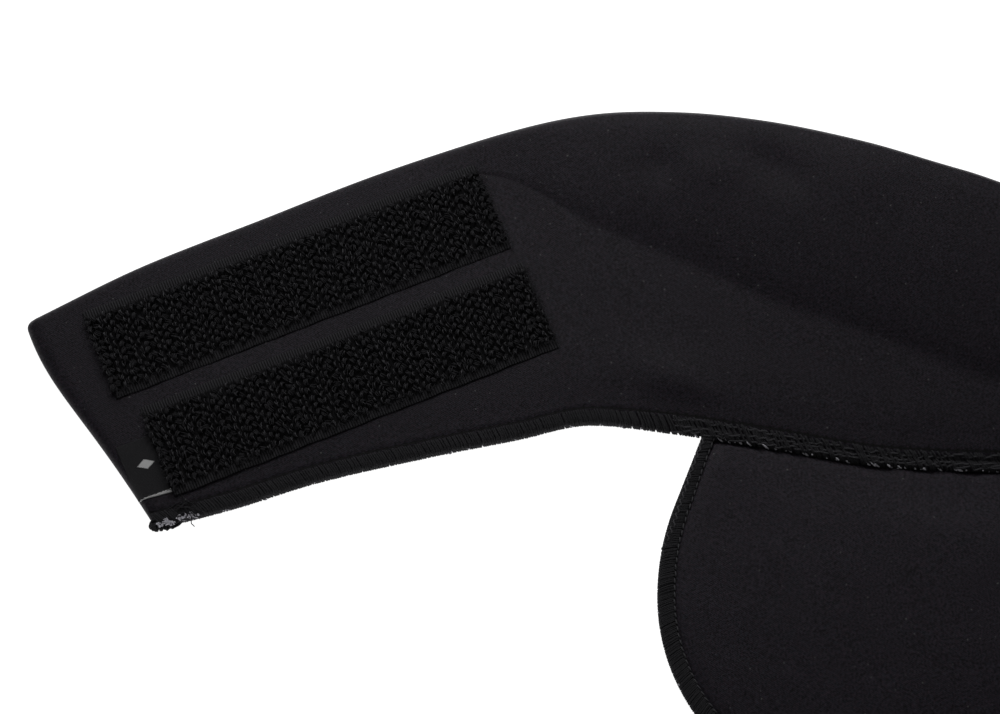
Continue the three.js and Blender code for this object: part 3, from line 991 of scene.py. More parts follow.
def make_collar(material):
    places = collar_places()
    _, widths, values = collar_plan(places, np.zeros_like(places))
    steps = np.array([face_steps(*pair) for pair in zip(widths, widths * values[:, CREASE])])
    grid = np.repeat(places[:, None], steps.shape[1], axis=1)
    plan, width, values = collar_plan(grid, steps)
    arc = np.interp(places, *hem_arc())[:, None]
    x, y = plan[..., 0], plan[..., 1]
    stitched = steps / bite_scale(x)
    low = held_by_patch(x) + held_by_bib(x, steps)
    high = held_by_patch(x) + band_height(steps, stitched, width, values)
    high += soft_relief(x, y) * smoothstep(steps, *RELIEF_RAMP) - seam_fall(x, stitched)
    high += PUCKER * np.cos(2 * math.pi * arc / COLLAR_PITCH) * bell(stitched - PUCKER_AT, PUCKER_REACH)
    high += collar_swell(plan, high, steps, width, width * values[..., CREASE], grid)
    low += THREAD_ROOM * (1.0 - smoothstep(steps, *THREAD_ROOM_RAMP))
    high = np.maximum(high, low + THINNEST)
    edge = rounded(np.minimum(width - steps, end_distance(grid)), TURNED_RADIUS)
    face, under = two_faces(plan, high, low, edge * rounded(steps - HEM_CORE_INSET, HEM_EDGE_RADIUS))
    back = [*range(steps.shape[1] - 3, 0, -2), 0]
    points = np.concatenate([face, under[:, back]], axis=1)
    pattern = np.stack(np.broadcast_arrays(arc, stitched), axis=-1)
    pattern = np.concatenate([pattern, pattern[:, back]], axis=1)
    collar = link("collar_pad", skin("collar_pad", points, pattern), material, "collar_cloth", "collar")
    return collar


# Bib


def bib_outline():
    """The bib's edge from its left top corner round the bottom to the right, then along its top."""
    side_x = BIB_HALF_WIDTH - BIB_SIDE_RADIUS
    corner_x = BIB_HALF_WIDTH - BIB_CORNER_RADIUS
    bow_radius = BIB_CORNER_RADIUS + corner_x / math.sin(BIB_BOTTOM_BOW)
    bow_y = BIB_WIDEST_Y + (bow_radius - BIB_CORNER_RADIUS) * math.cos(BIB_BOTTOM_BOW)
    lean_x = side_x + BIB_SIDE_RADIUS * math.cos(BIB_SIDE_LEAN)
    lean_y = BIB_WIDEST_Y + BIB_SIDE_RADIUS * math.sin(BIB_SIDE_LEAN)
    top_y = BIB_TUCK + BIB_TOP_RISE
    top_x = lean_x - (top_y - lean_y) * math.tan(BIB_SIDE_LEAN)
    bottom = -math.pi / 2

    def arc(x, y, radius, start, end, count):
        angles = np.linspace(start, end, count)
        return np.stack([x + radius * np.cos(angles), y + radius * np.sin(angles)], axis=1)

    counts = BIB_OUTLINE_POINTS
    corner_end = 2 * math.pi + bottom - BIB_BOTTOM_BOW
    left = np.vstack([
        np.linspace((-top_x, top_y), (-lean_x, lean_y), counts["straight"])[:-1],
        arc(-side_x, BIB_WIDEST_Y, BIB_SIDE_RADIUS, math.pi - BIB_SIDE_LEAN, math.pi, counts["side"])[:-1],
        arc(-corner_x, BIB_WIDEST_Y, BIB_CORNER_RADIUS, math.pi, corner_end, counts["corner"])[:-1],
        arc(0.0, bow_y, bow_radius, bottom - BIB_BOTTOM_BOW, bottom, counts["bow"]),
    ])
    free = np.vstack([left, left[-2::-1] * (-1, 1)])
    t = np.linspace(0.0, 1.0, counts["top"])[:, None]
    control = np.array([0.0, BIB_TUCK - BIB_TOP_RISE])
    top = (1 - t) ** 2 * free[-1] + 2 * t * (1 - t) * control + t**2 * free[0]
    return free, top


def unit(ways):
    return ways / np.linalg.norm(ways, axis=1)[:, None]


def bib_edge():
    """Points round the bib, the way in from each, and the distance round, first along the free edge."""
    free, top = bib_outline()
    outline = np.vstack([free, top[1:]])
    lengths = length_along(outline)
    free_length = length_along(free)[-1]
    distance = np.linspace(0.0, lengths[-1], BIB_STATIONS + 1)[:-1]
    edge = np.stack([np.interp(distance, lengths, outline[:, k]) for k in (0, 1)], axis=1)
    ahead = np.roll(edge, -1, axis=0) - np.roll(edge, 1, axis=0)
    square = unit(np.stack([-ahead[:, 1], ahead[:, 0]], axis=1))
    to_centre = unit(np.array(BIB_CENTRE) - edge)
    from_corner = np.minimum(distance, free_length - distance)
    free_share = smoothstep(from_corner, 0.0, BIB_CORNER_TURN)[:, None]
    inward = unit(square * free_share + to_centre * (1.0 - free_share))
    return edge, inward, distance, free_length


def bib_bite(distance, free_length):
    """How far in the edge's stitching reaches, at a distance round the bib."""
    return np.interp(np.minimum(distance, free_length - distance), *np.array(BIB_BITE_ROWS).T)


def below_hem(x, y):
    """How far a point of the bib lies below the collar's hem."""
    rows = np.array(SECTION_ROWS)
    return np.interp(-np.abs(x), rows[:, 0], rows[:, 1]) - y


def bib_height(from_edge, bite):
    rise = smoothstep(from_edge, bite, bite + BIB_EASE)
    groove = BIB_GROOVE * peak(from_edge - bite, NEEDLE_GROOVE_REACH)
    return BIB_EDGE_CORE + (BIB_THICKNESS - BIB_EDGE_CORE) * rise - groove


def bib_swell(x, y):
    """Swell of the bib's face, which is held at its edge and along the collar's hem."""
    columns = np.arange(-BIB_HALF_WIDTH, BIB_HALF_WIDTH + SWELL_NET, SWELL_NET)
    rows = np.arange(np.min(y), np.max(y) + SWELL_NET, SWELL_NET)
    net = np.stack(np.meshgrid(columns, rows), axis=-1)
    edge, inward, _, _ = bib_edge()
    away = net[:, :, None, :] - edge
    nearest = np.argmin(np.linalg.norm(away, axis=-1), axis=-1)
    way = np.take_along_axis(away, nearest[..., None, None], axis=2)[:, :, 0]
    sewn = np.sum(way * inward[nearest], axis=-1) < HELD_AT_BIB_EDGE
    sewn |= below_hem(net[..., 0], net[..., 1]) < HELD_AT_HEM
    rise = swollen("bib_swell", with_height(net, np.full(sewn.shape, BIB_THICKNESS)), sewn)
    return sampled(rise, (y - rows[0]) / SWELL_NET, (x - columns[0]) / SWELL_NET)


def bib_top(plan, from_edge, bite):
    """Height of the bib's face: its edge, its low crown, its swell and where the hem presses on it."""
    x, y = plan[..., 0], plan[..., 1]
    below = below_hem(x, y)
    crown = BIB_CROWN * smoothstep(from_edge, *BIB_CROWN_RAMP)
    shift_x, shift_y = BIB_RELIEF_SHIFT
    relief = soft_relief(x + shift_x, y * BIB_RELIEF_STRETCH + shift_y)
    relief = relief * smoothstep(from_edge, *BIB_RELIEF_RAMP)
    high = bib_height(from_edge, bite) + (crown + relief) * smoothstep(below, *BIB_BELOW_HEM_RAMP)
    high += bib_swell(x, y)
    high -= BIB_PRESSED * (1.0 - smoothstep(below, 0.0, BIB_PRESSED_REACH))
    return high + (BIB_TUCKED - high) * (1.0 - smoothstep(below, *BIB_TUCK_RAMP))


def make_bib(material):
    edge, inward, distance, free_length = bib_edge()
    near = HEM_CORE_INSET + np.concatenate([BIB_RINGS, np.arange(*BIB_EVEN_RINGS)])
    far = np.array(BIB_CENTRE_SHARES)
    rings = edge[:, None, :] + inward[:, None, :] * near[None, :, None]
    middle = rings[:, -1:, :] + (np.array(BIB_CENTRE) - rings[:, -1:, :]) * far[None, :, None]
    plan = np.concatenate([rings, middle], axis=1)
    from_edge = np.concatenate([near, near[-1] + far * BIB_CENTRE_REACH])[None, :]
    bite = bib_bite(distance, free_length)[:, None]
    high = bib_top(plan, from_edge, bite)
    low = BIB_THREAD_ROOM * (1.0 - smoothstep(from_edge, *BIB_THREAD_ROOM_RAMP))
    face, under = two_faces(plan, high, low, rounded(from_edge - HEM_CORE_INSET, BIB_EDGE_RADIUS))
    points = np.concatenate([under[:, :0:-1], face], axis=1)
    points = np.concatenate([points, points[:1]], axis=0)
    round_mm = np.concatenate([distance, distance[:1]])[:, None]
    ring_mm = np.concatenate([from_edge[0, :0:-1], from_edge[0]])[None, :]
    ring_mm = ring_mm * BIB_BITE / np.concatenate([bite, bite[:1]])
    pattern = np.stack(np.broadcast_arrays(round_mm, ring_mm), axis=-1)
    bib = link("bib_pad", skin("bib_pad", points, pattern), material, "bib_cloth", "bib")
    return bib


# Stitching


def hem_points(arc, from_hem, height):
    """Points of the hem's stitching, by the length along the hem, the way in and the height."""
    places, lengths = hem_arc()
    along = np.interp(arc, lengths, places)
    scale = bite_scale(section_values(along)[..., 0])
    plan, _, _ = collar_plan(along, from_hem * scale)
    x = plan[..., 0]
    lift = held_by_bib(x, np.zeros_like(x))
    z = held_by_patch(x) + lift + height * (1.0 - lift / HEM_THICKNESS)
    return with_height(plan, z - seam_fall(x, from_hem) * smoothstep(height, UNDERSIDE_HEIGHT, FACE_HEIGHT))


def hem_x(arc):
    """How far along X the hem's edge lies, by the length along the hem."""
    return hem_points(arc, np.zeros_like(arc), np.zeros_like(arc))[:, 0]


def stitch_starts(length, margin, pitch):
    count = int((length - 2 * margin) / pitch)
    return margin + pitch * (np.arange(count) + 0.5)


def strand_grid(rng, starts, shape, pitch, slant, unevenness=1.0):
    """Length along, way in and height of every thread's points, for a row of stitches."""
    strand = (np.arange(STRANDS) / STRANDS - 0.5) * pitch * STRAND_SPREAD
    shift = rng.normal(0.0, STRAND_SHIFT, (len(starts), STRANDS, 1)) * unevenness
    along = starts[:, None, None] + strand[None, :, None] + shift
    across = np.broadcast_to(shape[:, 0], (len(starts), STRANDS, len(shape)))
    along = along + slant * (1.0 - across / shape[0, 0]) + rng.normal(0.0, STRAND_WOBBLE, across.shape)
    uneven = rng.normal(0.0, STRAND_SHIFT, (len(starts), STRANDS, 1)) * unevenness
    uneven = uneven + rng.normal(0.0, STRAND_WOBBLE, across.shape)
    return along, across, shape[:, 1] + uneven * (shape[:, 1] > UNDERSIDE_HEIGHT)


def make_collar_overlock(rng, material):
    length = hem_arc()[1][-1]
    starts = stitch_starts(length, HEM_MARGIN, COLLAR_PITCH)
    seam = over_bib(hem_x(starts))[:, None, None]
    slant = COLLAR_SLANT + SEAM_SLANT * seam
    unevenness = 1.0 + SEAM_UNEVENNESS * seam
    stitch = np.array(COLLAR_STITCH)
    along, across, height = strand_grid(rng, starts, stitch, COLLAR_PITCH, slant, unevenness)
    paths = hem_points(np.clip(along, HEM_END, length - HEM_END), across, height)
    paths = paths.reshape(-1, *paths.shape[-2:])
    return thread_piece("collar_overlock", paths, STRAND_RADIUS, material, "collar_cloth")


def make_white_flecks(rng, material):
    """White core fibre between the threads: slanted dashes on the seam, lumps on the free hem."""
    length = hem_arc()[1][-1]
    starts = np.repeat(stitch_starts(length, HEM_MARGIN, COLLAR_PITCH), 2)
    starts = starts + rng.uniform(0.0, COLLAR_PITCH, len(starts))
    x = hem_x(starts)
    chosen = rng.random(len(starts)) < FLECK_CHANCE * np.interp(np.abs(x), *np.array(FLECK_ROWS).T)
    starts, seam = starts[chosen][:, None], (np.abs(x[chosen]) < SEAM_HALF)[:, None]
    share = np.linspace(-0.5, 0.5, len(FLECK_TAPER))
    size = rng.choice(FLECK_SIZES, starts.shape) * rng.uniform(0.8, 1.2, starts.shape)
    arc = starts + share * size
    ragged = FLECK_RAGGED * rng.normal(0.0, 1.0, arc.shape)
    across = np.where(seam, SEAM_FLECK_IN - FLECK_LEAN * share * size, HEM_FLECK_IN + ragged)
    on_seam = rng.uniform(*SEAM_FLECK_HEIGHTS, starts.shape)
    high = np.where(seam, on_seam, rng.uniform(*HEM_FLECK_HEIGHTS, starts.shape))
    height = high - FLECK_FALL * share * size + rng.normal(0.0, FLECK_WOBBLE, arc.shape)
    paths = hem_points(np.clip(arc, HEM_END, length - HEM_END), across, height)
    return thread_piece("white_flecks", paths, FLECK_RADIUS, material, "collar_cloth", taper=FLECK_TAPER)


def make_seam_loopers(rng, material):
    """Looper threads that run along the seam over its overlock and wander in and out."""
    starts = stitch_starts(hem_arc()[1][-1], HEM_MARGIN, COLLAR_PITCH)
    starts = starts[np.abs(hem_x(starts)) < SEAM_HALF][:, None]
    share = np.linspace(-0.5, 0.5, len(STRAND_TAPER))
    paths = []
    for way_in, drift in SEAM_LOOPERS:
        wander = rng.normal(0.0, LOOPER_WANDER, starts.shape)
        middle = way_in + LOOPER_DRIFT * np.sin(starts / drift) + wander
        twist = rng.uniform(0.0, LOOPER_TWIST, starts.shape) * np.sin(2 * math.pi * share)
        height = LOOPER_HEIGHT + rng.normal(0.0, LOOPER_UNEVENNESS, starts.shape)
        fall = LOOPER_FALL * np.clip(LOOPER_FALL_AT - middle - twist, 0.0, None)
        height = height - LOOPER_ARCH * share**2 - fall
        paths.append(hem_points(starts + share * LOOPER_LENGTH, middle + twist, height))
    paths = np.vstack(paths)
    return thread_piece("seam_loopers", paths, LOOPER_RADIUS, material, "collar_cloth", taper=STRAND_TAPER)


def bib_points(distance, from_edge, height):
    edge, inward, table, free_length = bib_edge()
    x, y = (np.interp(distance, table, edge[:, k]) for k in (0, 1))
    way_x, way_y = (np.interp(distance, table, inward[:, k]) for k in (0, 1))
    way = from_edge * bib_bite(distance, free_length) / BIB_BITE
    return np.stack(np.broadcast_arrays(x + way_x * way, y + way_y * way, height), axis=-1)


def make_bib_overlock(rng, material):
    starts = stitch_starts(bib_edge()[3], BIB_MARGIN, BIB_PITCH)
    paths = bib_points(*strand_grid(rng, starts, np.array(BIB_STITCH), BIB_PITCH, BIB_SLANT))
    paths = paths.reshape(-1, *paths.shape[-2:])
    return thread_piece("bib_overlock", paths, BIB_STRAND_RADIUS, material, "bib_cloth")


def make_bib_chains(rng, material):
    """Chain lines over the bib's overlock: the needle line, and one that runs out to the edge."""
    length = bib_edge()[3]
    starts = stitch_starts(length, BIB_MARGIN, BIB_PITCH)[:, None]
    share = np.linspace(-0.5, 0.5, len(STRAND_TAPER))
    needle = BIB_BITE + rng.normal(0.0, INNER_CHAIN_WANDER, starts.shape) + INNER_CHAIN_LEAN * share
    height = INNER_CHAIN_HEIGHT - INNER_CHAIN_ARCH * share**2
    inner = bib_points(starts + share * INNER_CHAIN_LENGTH, needle, height)
    from_corner = np.minimum(starts, length - starts)
    short = from_corner[:, 0] < CHAIN_ROWS[-1][0]
    starts, from_corner = starts[short], from_corner[short]
    drift = np.interp(from_corner, *np.array(CHAIN_ROWS).T)
    wave = drift + OUTER_CHAIN_WAVE * np.sin(2 * math.pi * share)
    height = OUTER_CHAIN_HEIGHT - OUTER_CHAIN_ARCH * share**2 - RIM_DROP * (drift < CHAIN_AT_RIM)
    outer = bib_points(starts + share * OUTER_CHAIN_LENGTH, wave, height)
    paths = np.vstack([inner, outer])
    return thread_piece("bib_chain_lines", paths, CHAIN_RADIUS, material, "bib_cloth", taper=STRAND_TAPER)


def make_bib_flecks(rng, material):
    """Small white core fibres at the bib's cut edge, past the end of the outer chain line."""
    starts = stitch_starts(bib_edge()[3], CHAIN_ROWS[-1][0], BIB_PITCH)
    starts = starts[rng.random(len(starts)) < BIB_FLECK_CHANCE][:, None] + BIB_PITCH / 2
    share = np.linspace(-0.5, 0.5, len(BIB_FLECK_TAPER))
    along = starts + share * rng.uniform(*BIB_FLECK_SIZES, starts.shape)
    height = rng.uniform(*BIB_FLECK_HEIGHTS, starts.shape) + rng.normal(0.0, FLECK_WOBBLE, along.shape)
    paths = bib_points(along, BIB_FLECK_IN + rng.normal(0.0, FLECK_RAGGED, along.shape), height)
    return thread_piece("bib_flecks", paths, BIB_FLECK_RADIUS, material, "bib_cloth", taper=BIB_FLECK_TAPER)


def make_corner_fluff(rng, side, black, white):
    """Thread tails at one of the hem's outer corners: a black knot, loose tails and white fibre."""
    name = "left" if side < 0 else "right"
    lift = PATCH_LIFT if side > 0 else 0.0
    mirror = np.array((side, 1.0, 1.0))
    raised = np.array((0.0, 0.0, lift))
    knot = KNOT_AT * mirror + raised
    starts = knot + rng.normal(0.0, 1.0, (KNOT_TAILS, 3)) * KNOT_SPREAD
    headings = rng.uniform(0.0, 2 * math.pi, KNOT_TAILS)
    tails = curls(rng, starts, headings, length=2.8, points=10, bend=1.0, lift=0.1)
    reach = np.linalg.norm((tails - knot) * KNOT_SQUASH, axis=-1)
    tails = knot + (tails - knot) * np.minimum(1.0, KNOT_RADIUS / reach)[..., None]
    tails[..., 1] += KNOT_LEAN * (side * knot[0] - side * tails[..., 0])
    tails[..., 2] = np.clip(tails[..., 2], KNOT_HEIGHTS[0], KNOT_HEIGHTS[1] + lift)
    thread_piece("tail_knot_" + name, tails, KNOT_THREAD, black, "collar_cloth")
    starts = LOOSE_AT * mirror + raised + rng.normal(0.0, 1.0, (LOOSE_TAILS, 3)) * LOOSE_SPREAD
    along_hem = LOOSE_HEADING if side < 0 else math.pi - LOOSE_HEADING
    headings = along_hem + rng.normal(0.0, LOOSE_TURNS, LOOSE_TAILS)
    loose = curls(rng, starts, headings, length=6.0, points=14, bend=0.3, lift=0.2)
    loose[..., 2] = np.clip(loose[..., 2], *(np.array(LOOSE_HEIGHTS) + lift))
    thread_piece("loose_tails_" + name, loose, LOOSE_THREAD, black, "collar_cloth")
    clump = rng.choice(np.array(CORNER_CLUMPS), CLUMP_FIBRES)
    tuft = clump * mirror[:2] + rng.normal(0.0, 1.0, (CLUMP_FIBRES, 2)) * CLUMP_SPREAD
    tuft = with_height(tuft, np.full(CLUMP_FIBRES, CLUMP_Z + lift))
    headings = rng.uniform(0.0, 2 * math.pi, CLUMP_FIBRES)
    fibres = curls(rng, tuft, headings, length=1.2, points=8, bend=1.2, lift=0.1)
    fibres[..., 2] = np.clip(fibres[..., 2], *(np.array(CLUMP_HEIGHTS) + lift))
    thread_piece("core_fluff_" + name, fibres, CLUMP_THREAD, white, "collar_cloth")


# Tapes


def strip_points(name, along, across, height):
    x, y, _ = STRIPS[name]
    dx, dy = turned(along, across, STRIP_TURN)
    return np.stack(np.broadcast_arrays(x + dx, y + dy, STRIP_Z + height), axis=-1)


def make_tape(name, material):
    """Woven base of a loop strip, ribbed along its two selvedges."""
    length = STRIPS[name][2]
    half = STRIP_WIDTH / 2
    along = np.linspace(-length / 2, length / 2, int(length / SELVEDGE_RIB * RIB_POINTS))[:, None]
    rim = np.array(TAPE_RIM) - half
    across = np.concatenate([rim, -rim[::-1], np.array(TAPE_BACK_SHARES) * half])
    height = np.concatenate([TAPE_RIM_HEIGHTS, TAPE_RIM_HEIGHTS[::-1], TAPE_BACK_HEIGHTS])
    ribs = RIB_HEIGHT * np.cos(2 * math.pi * along / SELVEDGE_RIB) * (height > 0.1)
    short, long = EDGE_WAVES
    wander = EDGE_WANDER * np.sin(along / short) * np.sin(along / long + 1.0)
    wander = wander * (np.abs(across) > half - EDGE_REACH)
    points = strip_points(name, along, across + wander, height + ribs)
    pattern = np.stack(np.broadcast_arrays(along, across), axis=-1)
    mesh = skin(name + "_tape", points, pattern)
    with edited(mesh) as bm:
        bmesh.ops.holes_fill(bm, edges=[edge for edge in bm.edges if edge.is_boundary])
        bmesh.ops.recalc_face_normals(bm, faces=bm.faces)
    return link(name + "_tape", mesh, material, "loop_pile")


def pile_roots(rng, name, kinds):
    """Centres of the tufts in those columns of the tape's repeat."""
    end = STRIPS[name][2] / 2 - PILE_END
    roots = []
    for column, along in enumerate(np.linspace(-end, end, int(2 * end / PILE_COLUMN) + 1)):
        if column % PILE_REPEAT not in kinds:
            continue
        first = -STRIP_WIDTH / 2 + SELVEDGE + PILE_INSET + (column % 2) * PILE_PITCH / 2
        across = np.arange(first, STRIP_WIDTH / 2 - SELVEDGE, PILE_PITCH)
        roots.append(np.stack([np.full(len(across), along), across], axis=1))
    roots = np.vstack(roots)
    return roots + rng.normal(0.0, PILE_SCATTER, roots.shape)


def arches(rng, name, roots, heading, span, height, offsets, points, flatness):
    """Looped filaments that stand on their roots, side by side at the given offsets."""
    angles = np.linspace(0.0, math.pi, points)
    shape = (len(roots), len(offsets), 1)
    root_turn, loop_turn = ARCH_TURNS
    turn = heading + rng.normal(0.0, root_turn, (len(roots), 1, 1)) + rng.normal(0.0, loop_turn, shape)
    side = np.asarray(offsets)[None, :, None] + rng.normal(0.0, ARCH_SHIFT, shape)
    reach = span * rng.uniform(*ARCH_SPANS, shape)
    rise = height * rng.uniform(*ARCH_HEIGHTS, shape)
    along = -np.cos(angles) * reach / 2 * (1.0 + ARCH_BELLY * np.sin(angles))
    lean = side * (1.0 + ARCH_SPLAY * np.sin(angles)) + ARCH_LEAN * np.sin(angles)
    x = along * np.cos(turn) - lean * np.sin(turn) + roots[:, 0][:, None, None]
    y = along * np.sin(turn) + lean * np.cos(turn) + roots[:, 1][:, None, None]
    z = PILE_ROOT_Z + rise * np.sin(angles) ** flatness
    return strip_points(name, x, y, z).reshape(-1, points, 3)


def make_pile(rng, name, yarn, nylon):
    """Standing pile of a strip: fat matt tufts and thin shiny filament loops by turns."""
    tufts = []
    for kinds, lean, height, sides in PILE_COLUMNS:
        roots = pile_roots(rng, name, kinds)
        shape = (math.radians(lean), TUFT_SPAN, height, TUFT_OFFSETS[sides])
        tufts.append(arches(rng, name, roots, *shape, points=7, flatness=0.7))
    tufts = np.vstack(tufts)
    pile = thread_piece(name + "_pile", tufts, TUFT_RADIUS, yarn, "loop_pile", name, sides=4)
    roots = np.vstack([pile_roots(rng, name, kinds) for kinds in LOOP_COLUMNS])
    shape = (LOOP_LEAN, LOOP_SPAN, LOOP_HEIGHT, (0.0,))
    loops = arches(rng, name, roots, *shape, points=8, flatness=0.4)
    thread_piece(name + "_loops", loops, LOOP_RADIUS, nylon, "loop_pile")
    return pile


def make_fuzz(rng, name, material):
    """Frayed fibres at a strip's cut ends and along its lower selvedge."""
    length = STRIPS[name][2]
    half = STRIP_WIDTH / 2
    every = CUT_FIBRES + SELVEDGE_FIBRES
    ends = rng.choice((-1.0, 1.0), CUT_FIBRES)
    cut = ends * (length / 2 - rng.uniform(0.0, CUT_DEPTH, CUT_FIBRES))
    along = np.concatenate([cut, rng.uniform(-0.5, 0.5, SELVEDGE_FIBRES) * length])
    at_cut = rng.uniform(CUT_INSETS[0] - half, half - CUT_INSETS[1], CUT_FIBRES)
    across = np.concatenate([at_cut, rng.uniform(*SELVEDGE_INSETS, SELVEDGE_FIBRES) - half])
    starts = strip_points(name, along, across, rng.uniform(*FUZZ_ROOTS, every))
    headings = np.concatenate([np.where(ends < 0, math.pi, 0.0), np.full(SELVEDGE_FIBRES, -math.pi / 2)])
    headings = headings + STRIP_TURN + rng.normal(0.0, FUZZ_TURNS, every)
    paths = curls(rng, starts, headings, length=2.2, points=9, bend=0.6, lift=0.3)
    paths[..., 2] = np.clip(paths[..., 2], *(STRIP_Z + np.array(FUZZ_HEIGHTS)))
    return thread_piece(name + "_fuzz", paths, FUZZ_RADIUS, material, "loop_pile", sides=4)


def height_on(piece, x, y):
    """Height of a piece's upper face at plan points, in millimetres."""
    bm = bmesh.new()
    bm.from_mesh(piece.data)
    tree = BVHTree.FromBMesh(bm)
    bm.free()
    z = np.empty(x.shape)
    for index in np.ndindex(x.shape):
        above = Vector(to_frame((x[index], y[index], RAY_START)))
        hit = tree.ray_cast(above, Vector((0.0, 0.0, -1.0)))[0]
        z[index] = hit.z / MM if hit else np.nan
    return np.where(np.isnan(z), np.nanmin(z), z)


def make_label(collar, material):
    """The woven label, laid over the tab against the lower strip's end."""
    x, y, length = STRIPS["loop_strip_lower"]
    sizes = zip((LABEL_WIDTH, LABEL_HEIGHT), LABEL_POINTS)
    right, high = np.meshgrid(*(np.linspace(0.0, size, count) for size, count in sizes))
    corner = (1.0 - right / LABEL_WIDTH) * (1.0 - high / LABEL_HEIGHT)
    along = right - length / 2 - LABEL_WIDTH - LABEL_GAP + LABEL_CORNER[0] * corner
    across = high - LABEL_HEIGHT / 2 + LABEL_ACROSS + LABEL_CORNER[1] * corner
    dx, dy = turned(along, across, STRIP_TURN)
    turn_right, turn_high = LABEL_RIPPLE_TURNS
    ripple = LABEL_RIPPLE * np.sin(right * turn_right) * np.sin(high * turn_high)
    z = height_on(collar, x + dx, y + dy) + LABEL_RAISED + ripple
    points = np.stack([x + dx, y + dy, z], axis=-1)
    mesh = skin("size_label_weave", points, np.stack([right, high], axis=-1))
    with edited(mesh) as bm:
        bmesh.ops.solidify(bm, geom=bm.faces[:], thickness=LABEL_THICKNESS * MM)
        bmesh.ops.recalc_face_normals(bm, faces=bm.faces)
    return link("size_label_weave", mesh, material, "label_weave", "size_label")


def make_hook_patch(rng, material):
    """Hook tape under the right tab: a base with rows of small hooks that face down."""
    low, high = PATCH_BASE
    place = Matrix.Translation(Vector(to_frame((*PATCH_CENTRE, (low + high) / 2))))
    size = Matrix.Diagonal((PATCH_LENGTH * MM, PATCH_WIDTH * MM, (high - low) * MM, 1.0))
    mesh = bpy.data.meshes.new("hook_base")
    with edited(mesh) as bm:
        bmesh.ops.create_cube(bm, size=1.0, matrix=place @ Matrix.Rotation(-STRIP_TURN, 4, "Z") @ size)
        ways = {edge: (edge.verts[0].co - edge.verts[1].co).normalized() for edge in bm.edges}
        upright = [edge for edge, way in ways.items() if abs(way.z) > 0.9]
        corner = {"offset": PATCH_CORNER * MM, "segments": 5, "profile": 0.5}
        bmesh.ops.bevel(bm, geom=upright, affect="EDGES", material=-1, **corner)
    base = link("hook_base", mesh, material, "hook_plastic", "hook_patch")
    along, across = np.meshgrid(*(np.arange(-half, half + 0.1, HOOK_PITCH) for half in HOOK_FIELD))
    along = along.ravel()[:, None]
    across = across.ravel()[:, None]
    facing = rng.choice((-1.0, 1.0), along.shape)
    dx, dy = turned(along + np.array(HOOK_BEND) * facing, across, -STRIP_TURN)
    paths = np.broadcast_arrays(PATCH_CENTRE[0] + dx, PATCH_CENTRE[1] + dy, HOOK_DROP)
    thread_piece("hooks", np.stack(paths, axis=-1), HOOK_RADIUS, material, "hook_plastic", sides=4)
    return base


# Stage


def make_floor():
    """A lit white table, as under a product photograph."""
    mesh = bpy.data.meshes.new("floor")
    with edited(mesh) as bm:
        bmesh.ops.create_grid(bm, x_segments=1, y_segments=1, size=FLOOR_HALF)
        bmesh.ops.translate(bm, verts=bm.verts, vec=(0.0, 0.0, -FLOOR_DROP))
    material, _, shader = new_material("floor_white", roughness=0.9, specular=0.0)
    shader.inputs["Base Color"].default_value = grey(0.8)
    shader.inputs["Emission Color"].default_value = grey(1.0)
    shader.inputs["Emission Strength"].default_value = 1.0
    mesh.materials.append(material)
    floor = add_object("floor", mesh)


def aim(thing, place, target):
    direction = Vector(target) - Vector(place)
    thing.location = place
    thing.rotation_euler = direction.to_track_quat("-Z", "Y").to_euler()


def make_light(name, place, target, size, power):
    light = bpy.data.lights.new(name, "AREA")
    light.shape = "RECTANGLE"
    light.size, light.size_y = size
    light.energy = power
    lamp = add_object(name, light)
    lamp.visible_camera = False
    aim(lamp, place, target)


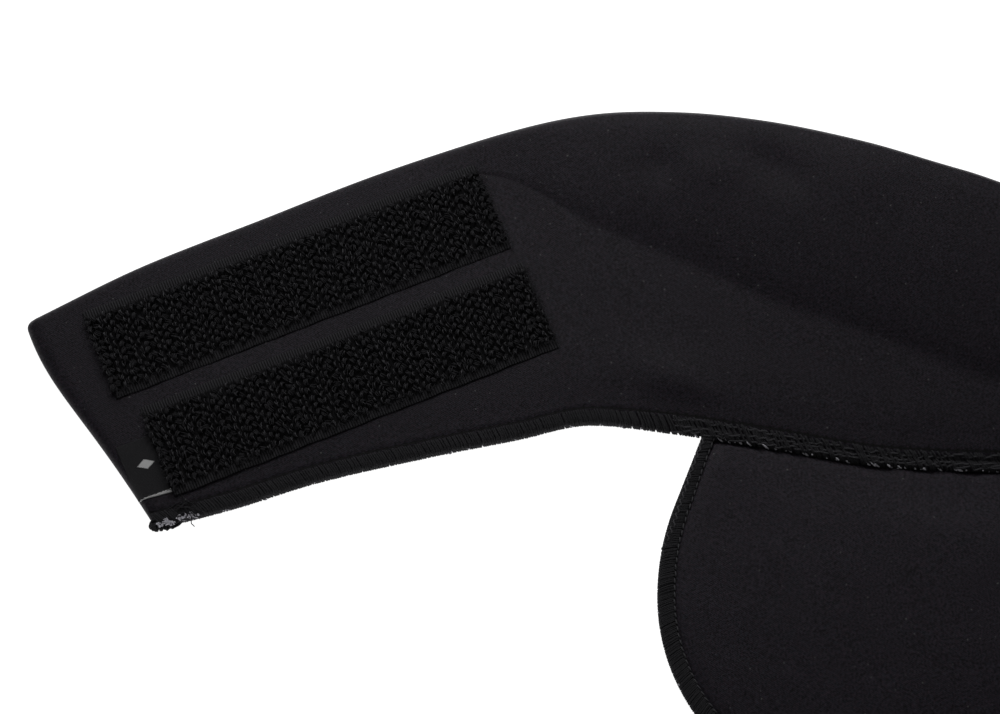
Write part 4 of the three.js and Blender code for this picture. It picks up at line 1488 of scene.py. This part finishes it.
def make_camera():
    data = bpy.data.cameras.new("camera")
    data.sensor_fit = "HORIZONTAL"
    data.sensor_width = 36.0
    data.lens = CAMERA_LENS
    data.clip_start = 0.01
    data.clip_end = 50.0
    camera = add_object("camera", data)
    way = Vector((0.0, -math.cos(CAMERA_ELEVATION), math.sin(CAMERA_ELEVATION)))
    aim(camera, CAMERA_TARGET + way * CAMERA_DISTANCE, CAMERA_TARGET)
    bpy.context.scene.camera = camera


def light_scene():
    """A softbox above the chin edge, weak light all round, and a white backdrop."""
    scene = bpy.context.scene
    world = bpy.data.worlds.new("studio")
    scene.world = world
    world.use_nodes = True
    tree = world.node_tree
    seen = put(tree, "ShaderNodeLightPath").outputs["Is Camera Ray"]
    strength = ramp(tree, seen, 0.0, 1.0, ALL_ROUND, 1.0)
    tree.links.new(strength, tree.nodes["Background"].inputs["Strength"])
    tree.nodes["Background"].inputs["Color"].default_value = grey(1.0)
    make_light("key", KEY_PLACE, KEY_TARGET, KEY_SIZE, KEY_POWER)
    scene.view_settings.view_transform = "Standard"


def main():
    fibre, needle = fibre_group(), needle_shade_group()
    knit = knit_group(lint_group())
    collar_cloth = cloth_material("collar_cloth", knit, needle, COLLAR_TONE, COLLAR_PITCH, NEEDLE_AT)
    bib_cloth = cloth_material("bib_cloth", knit, needle, BIB_TONE, BIB_PITCH, BIB_BITE)
    fibres = {name: fibre_material(name, fibre, *values) for name, values in FIBRES.items()}
    thread, core = fibres["thread_black"], fibres["core_white"]
    tape = tape_material(fibre)
    rng = np.random.default_rng(7)
    collar = make_collar(collar_cloth)
    make_bib(bib_cloth)
    make_collar_overlock(rng, thread)
    make_white_flecks(rng, core)
    make_bib_overlock(rng, thread)
    make_bib_chains(rng, fibres["thread_chain"])
    make_bib_flecks(rng, core)
    for side in (-1.0, 1.0):
        make_corner_fluff(rng, side, thread, core)
    for name in STRIPS:
        make_tape(name, tape)
        make_pile(rng, name, fibres["tuft_yarn"], fibres["loop_nylon"])
        make_fuzz(rng, name, thread)
    make_label(collar, label_material(fibre))
    make_hook_patch(rng, fibres["hook_plastic"])
    make_seam_loopers(rng, fibres["thread_looper"])
    make_floor()
    light_scene()
    make_camera()


main()
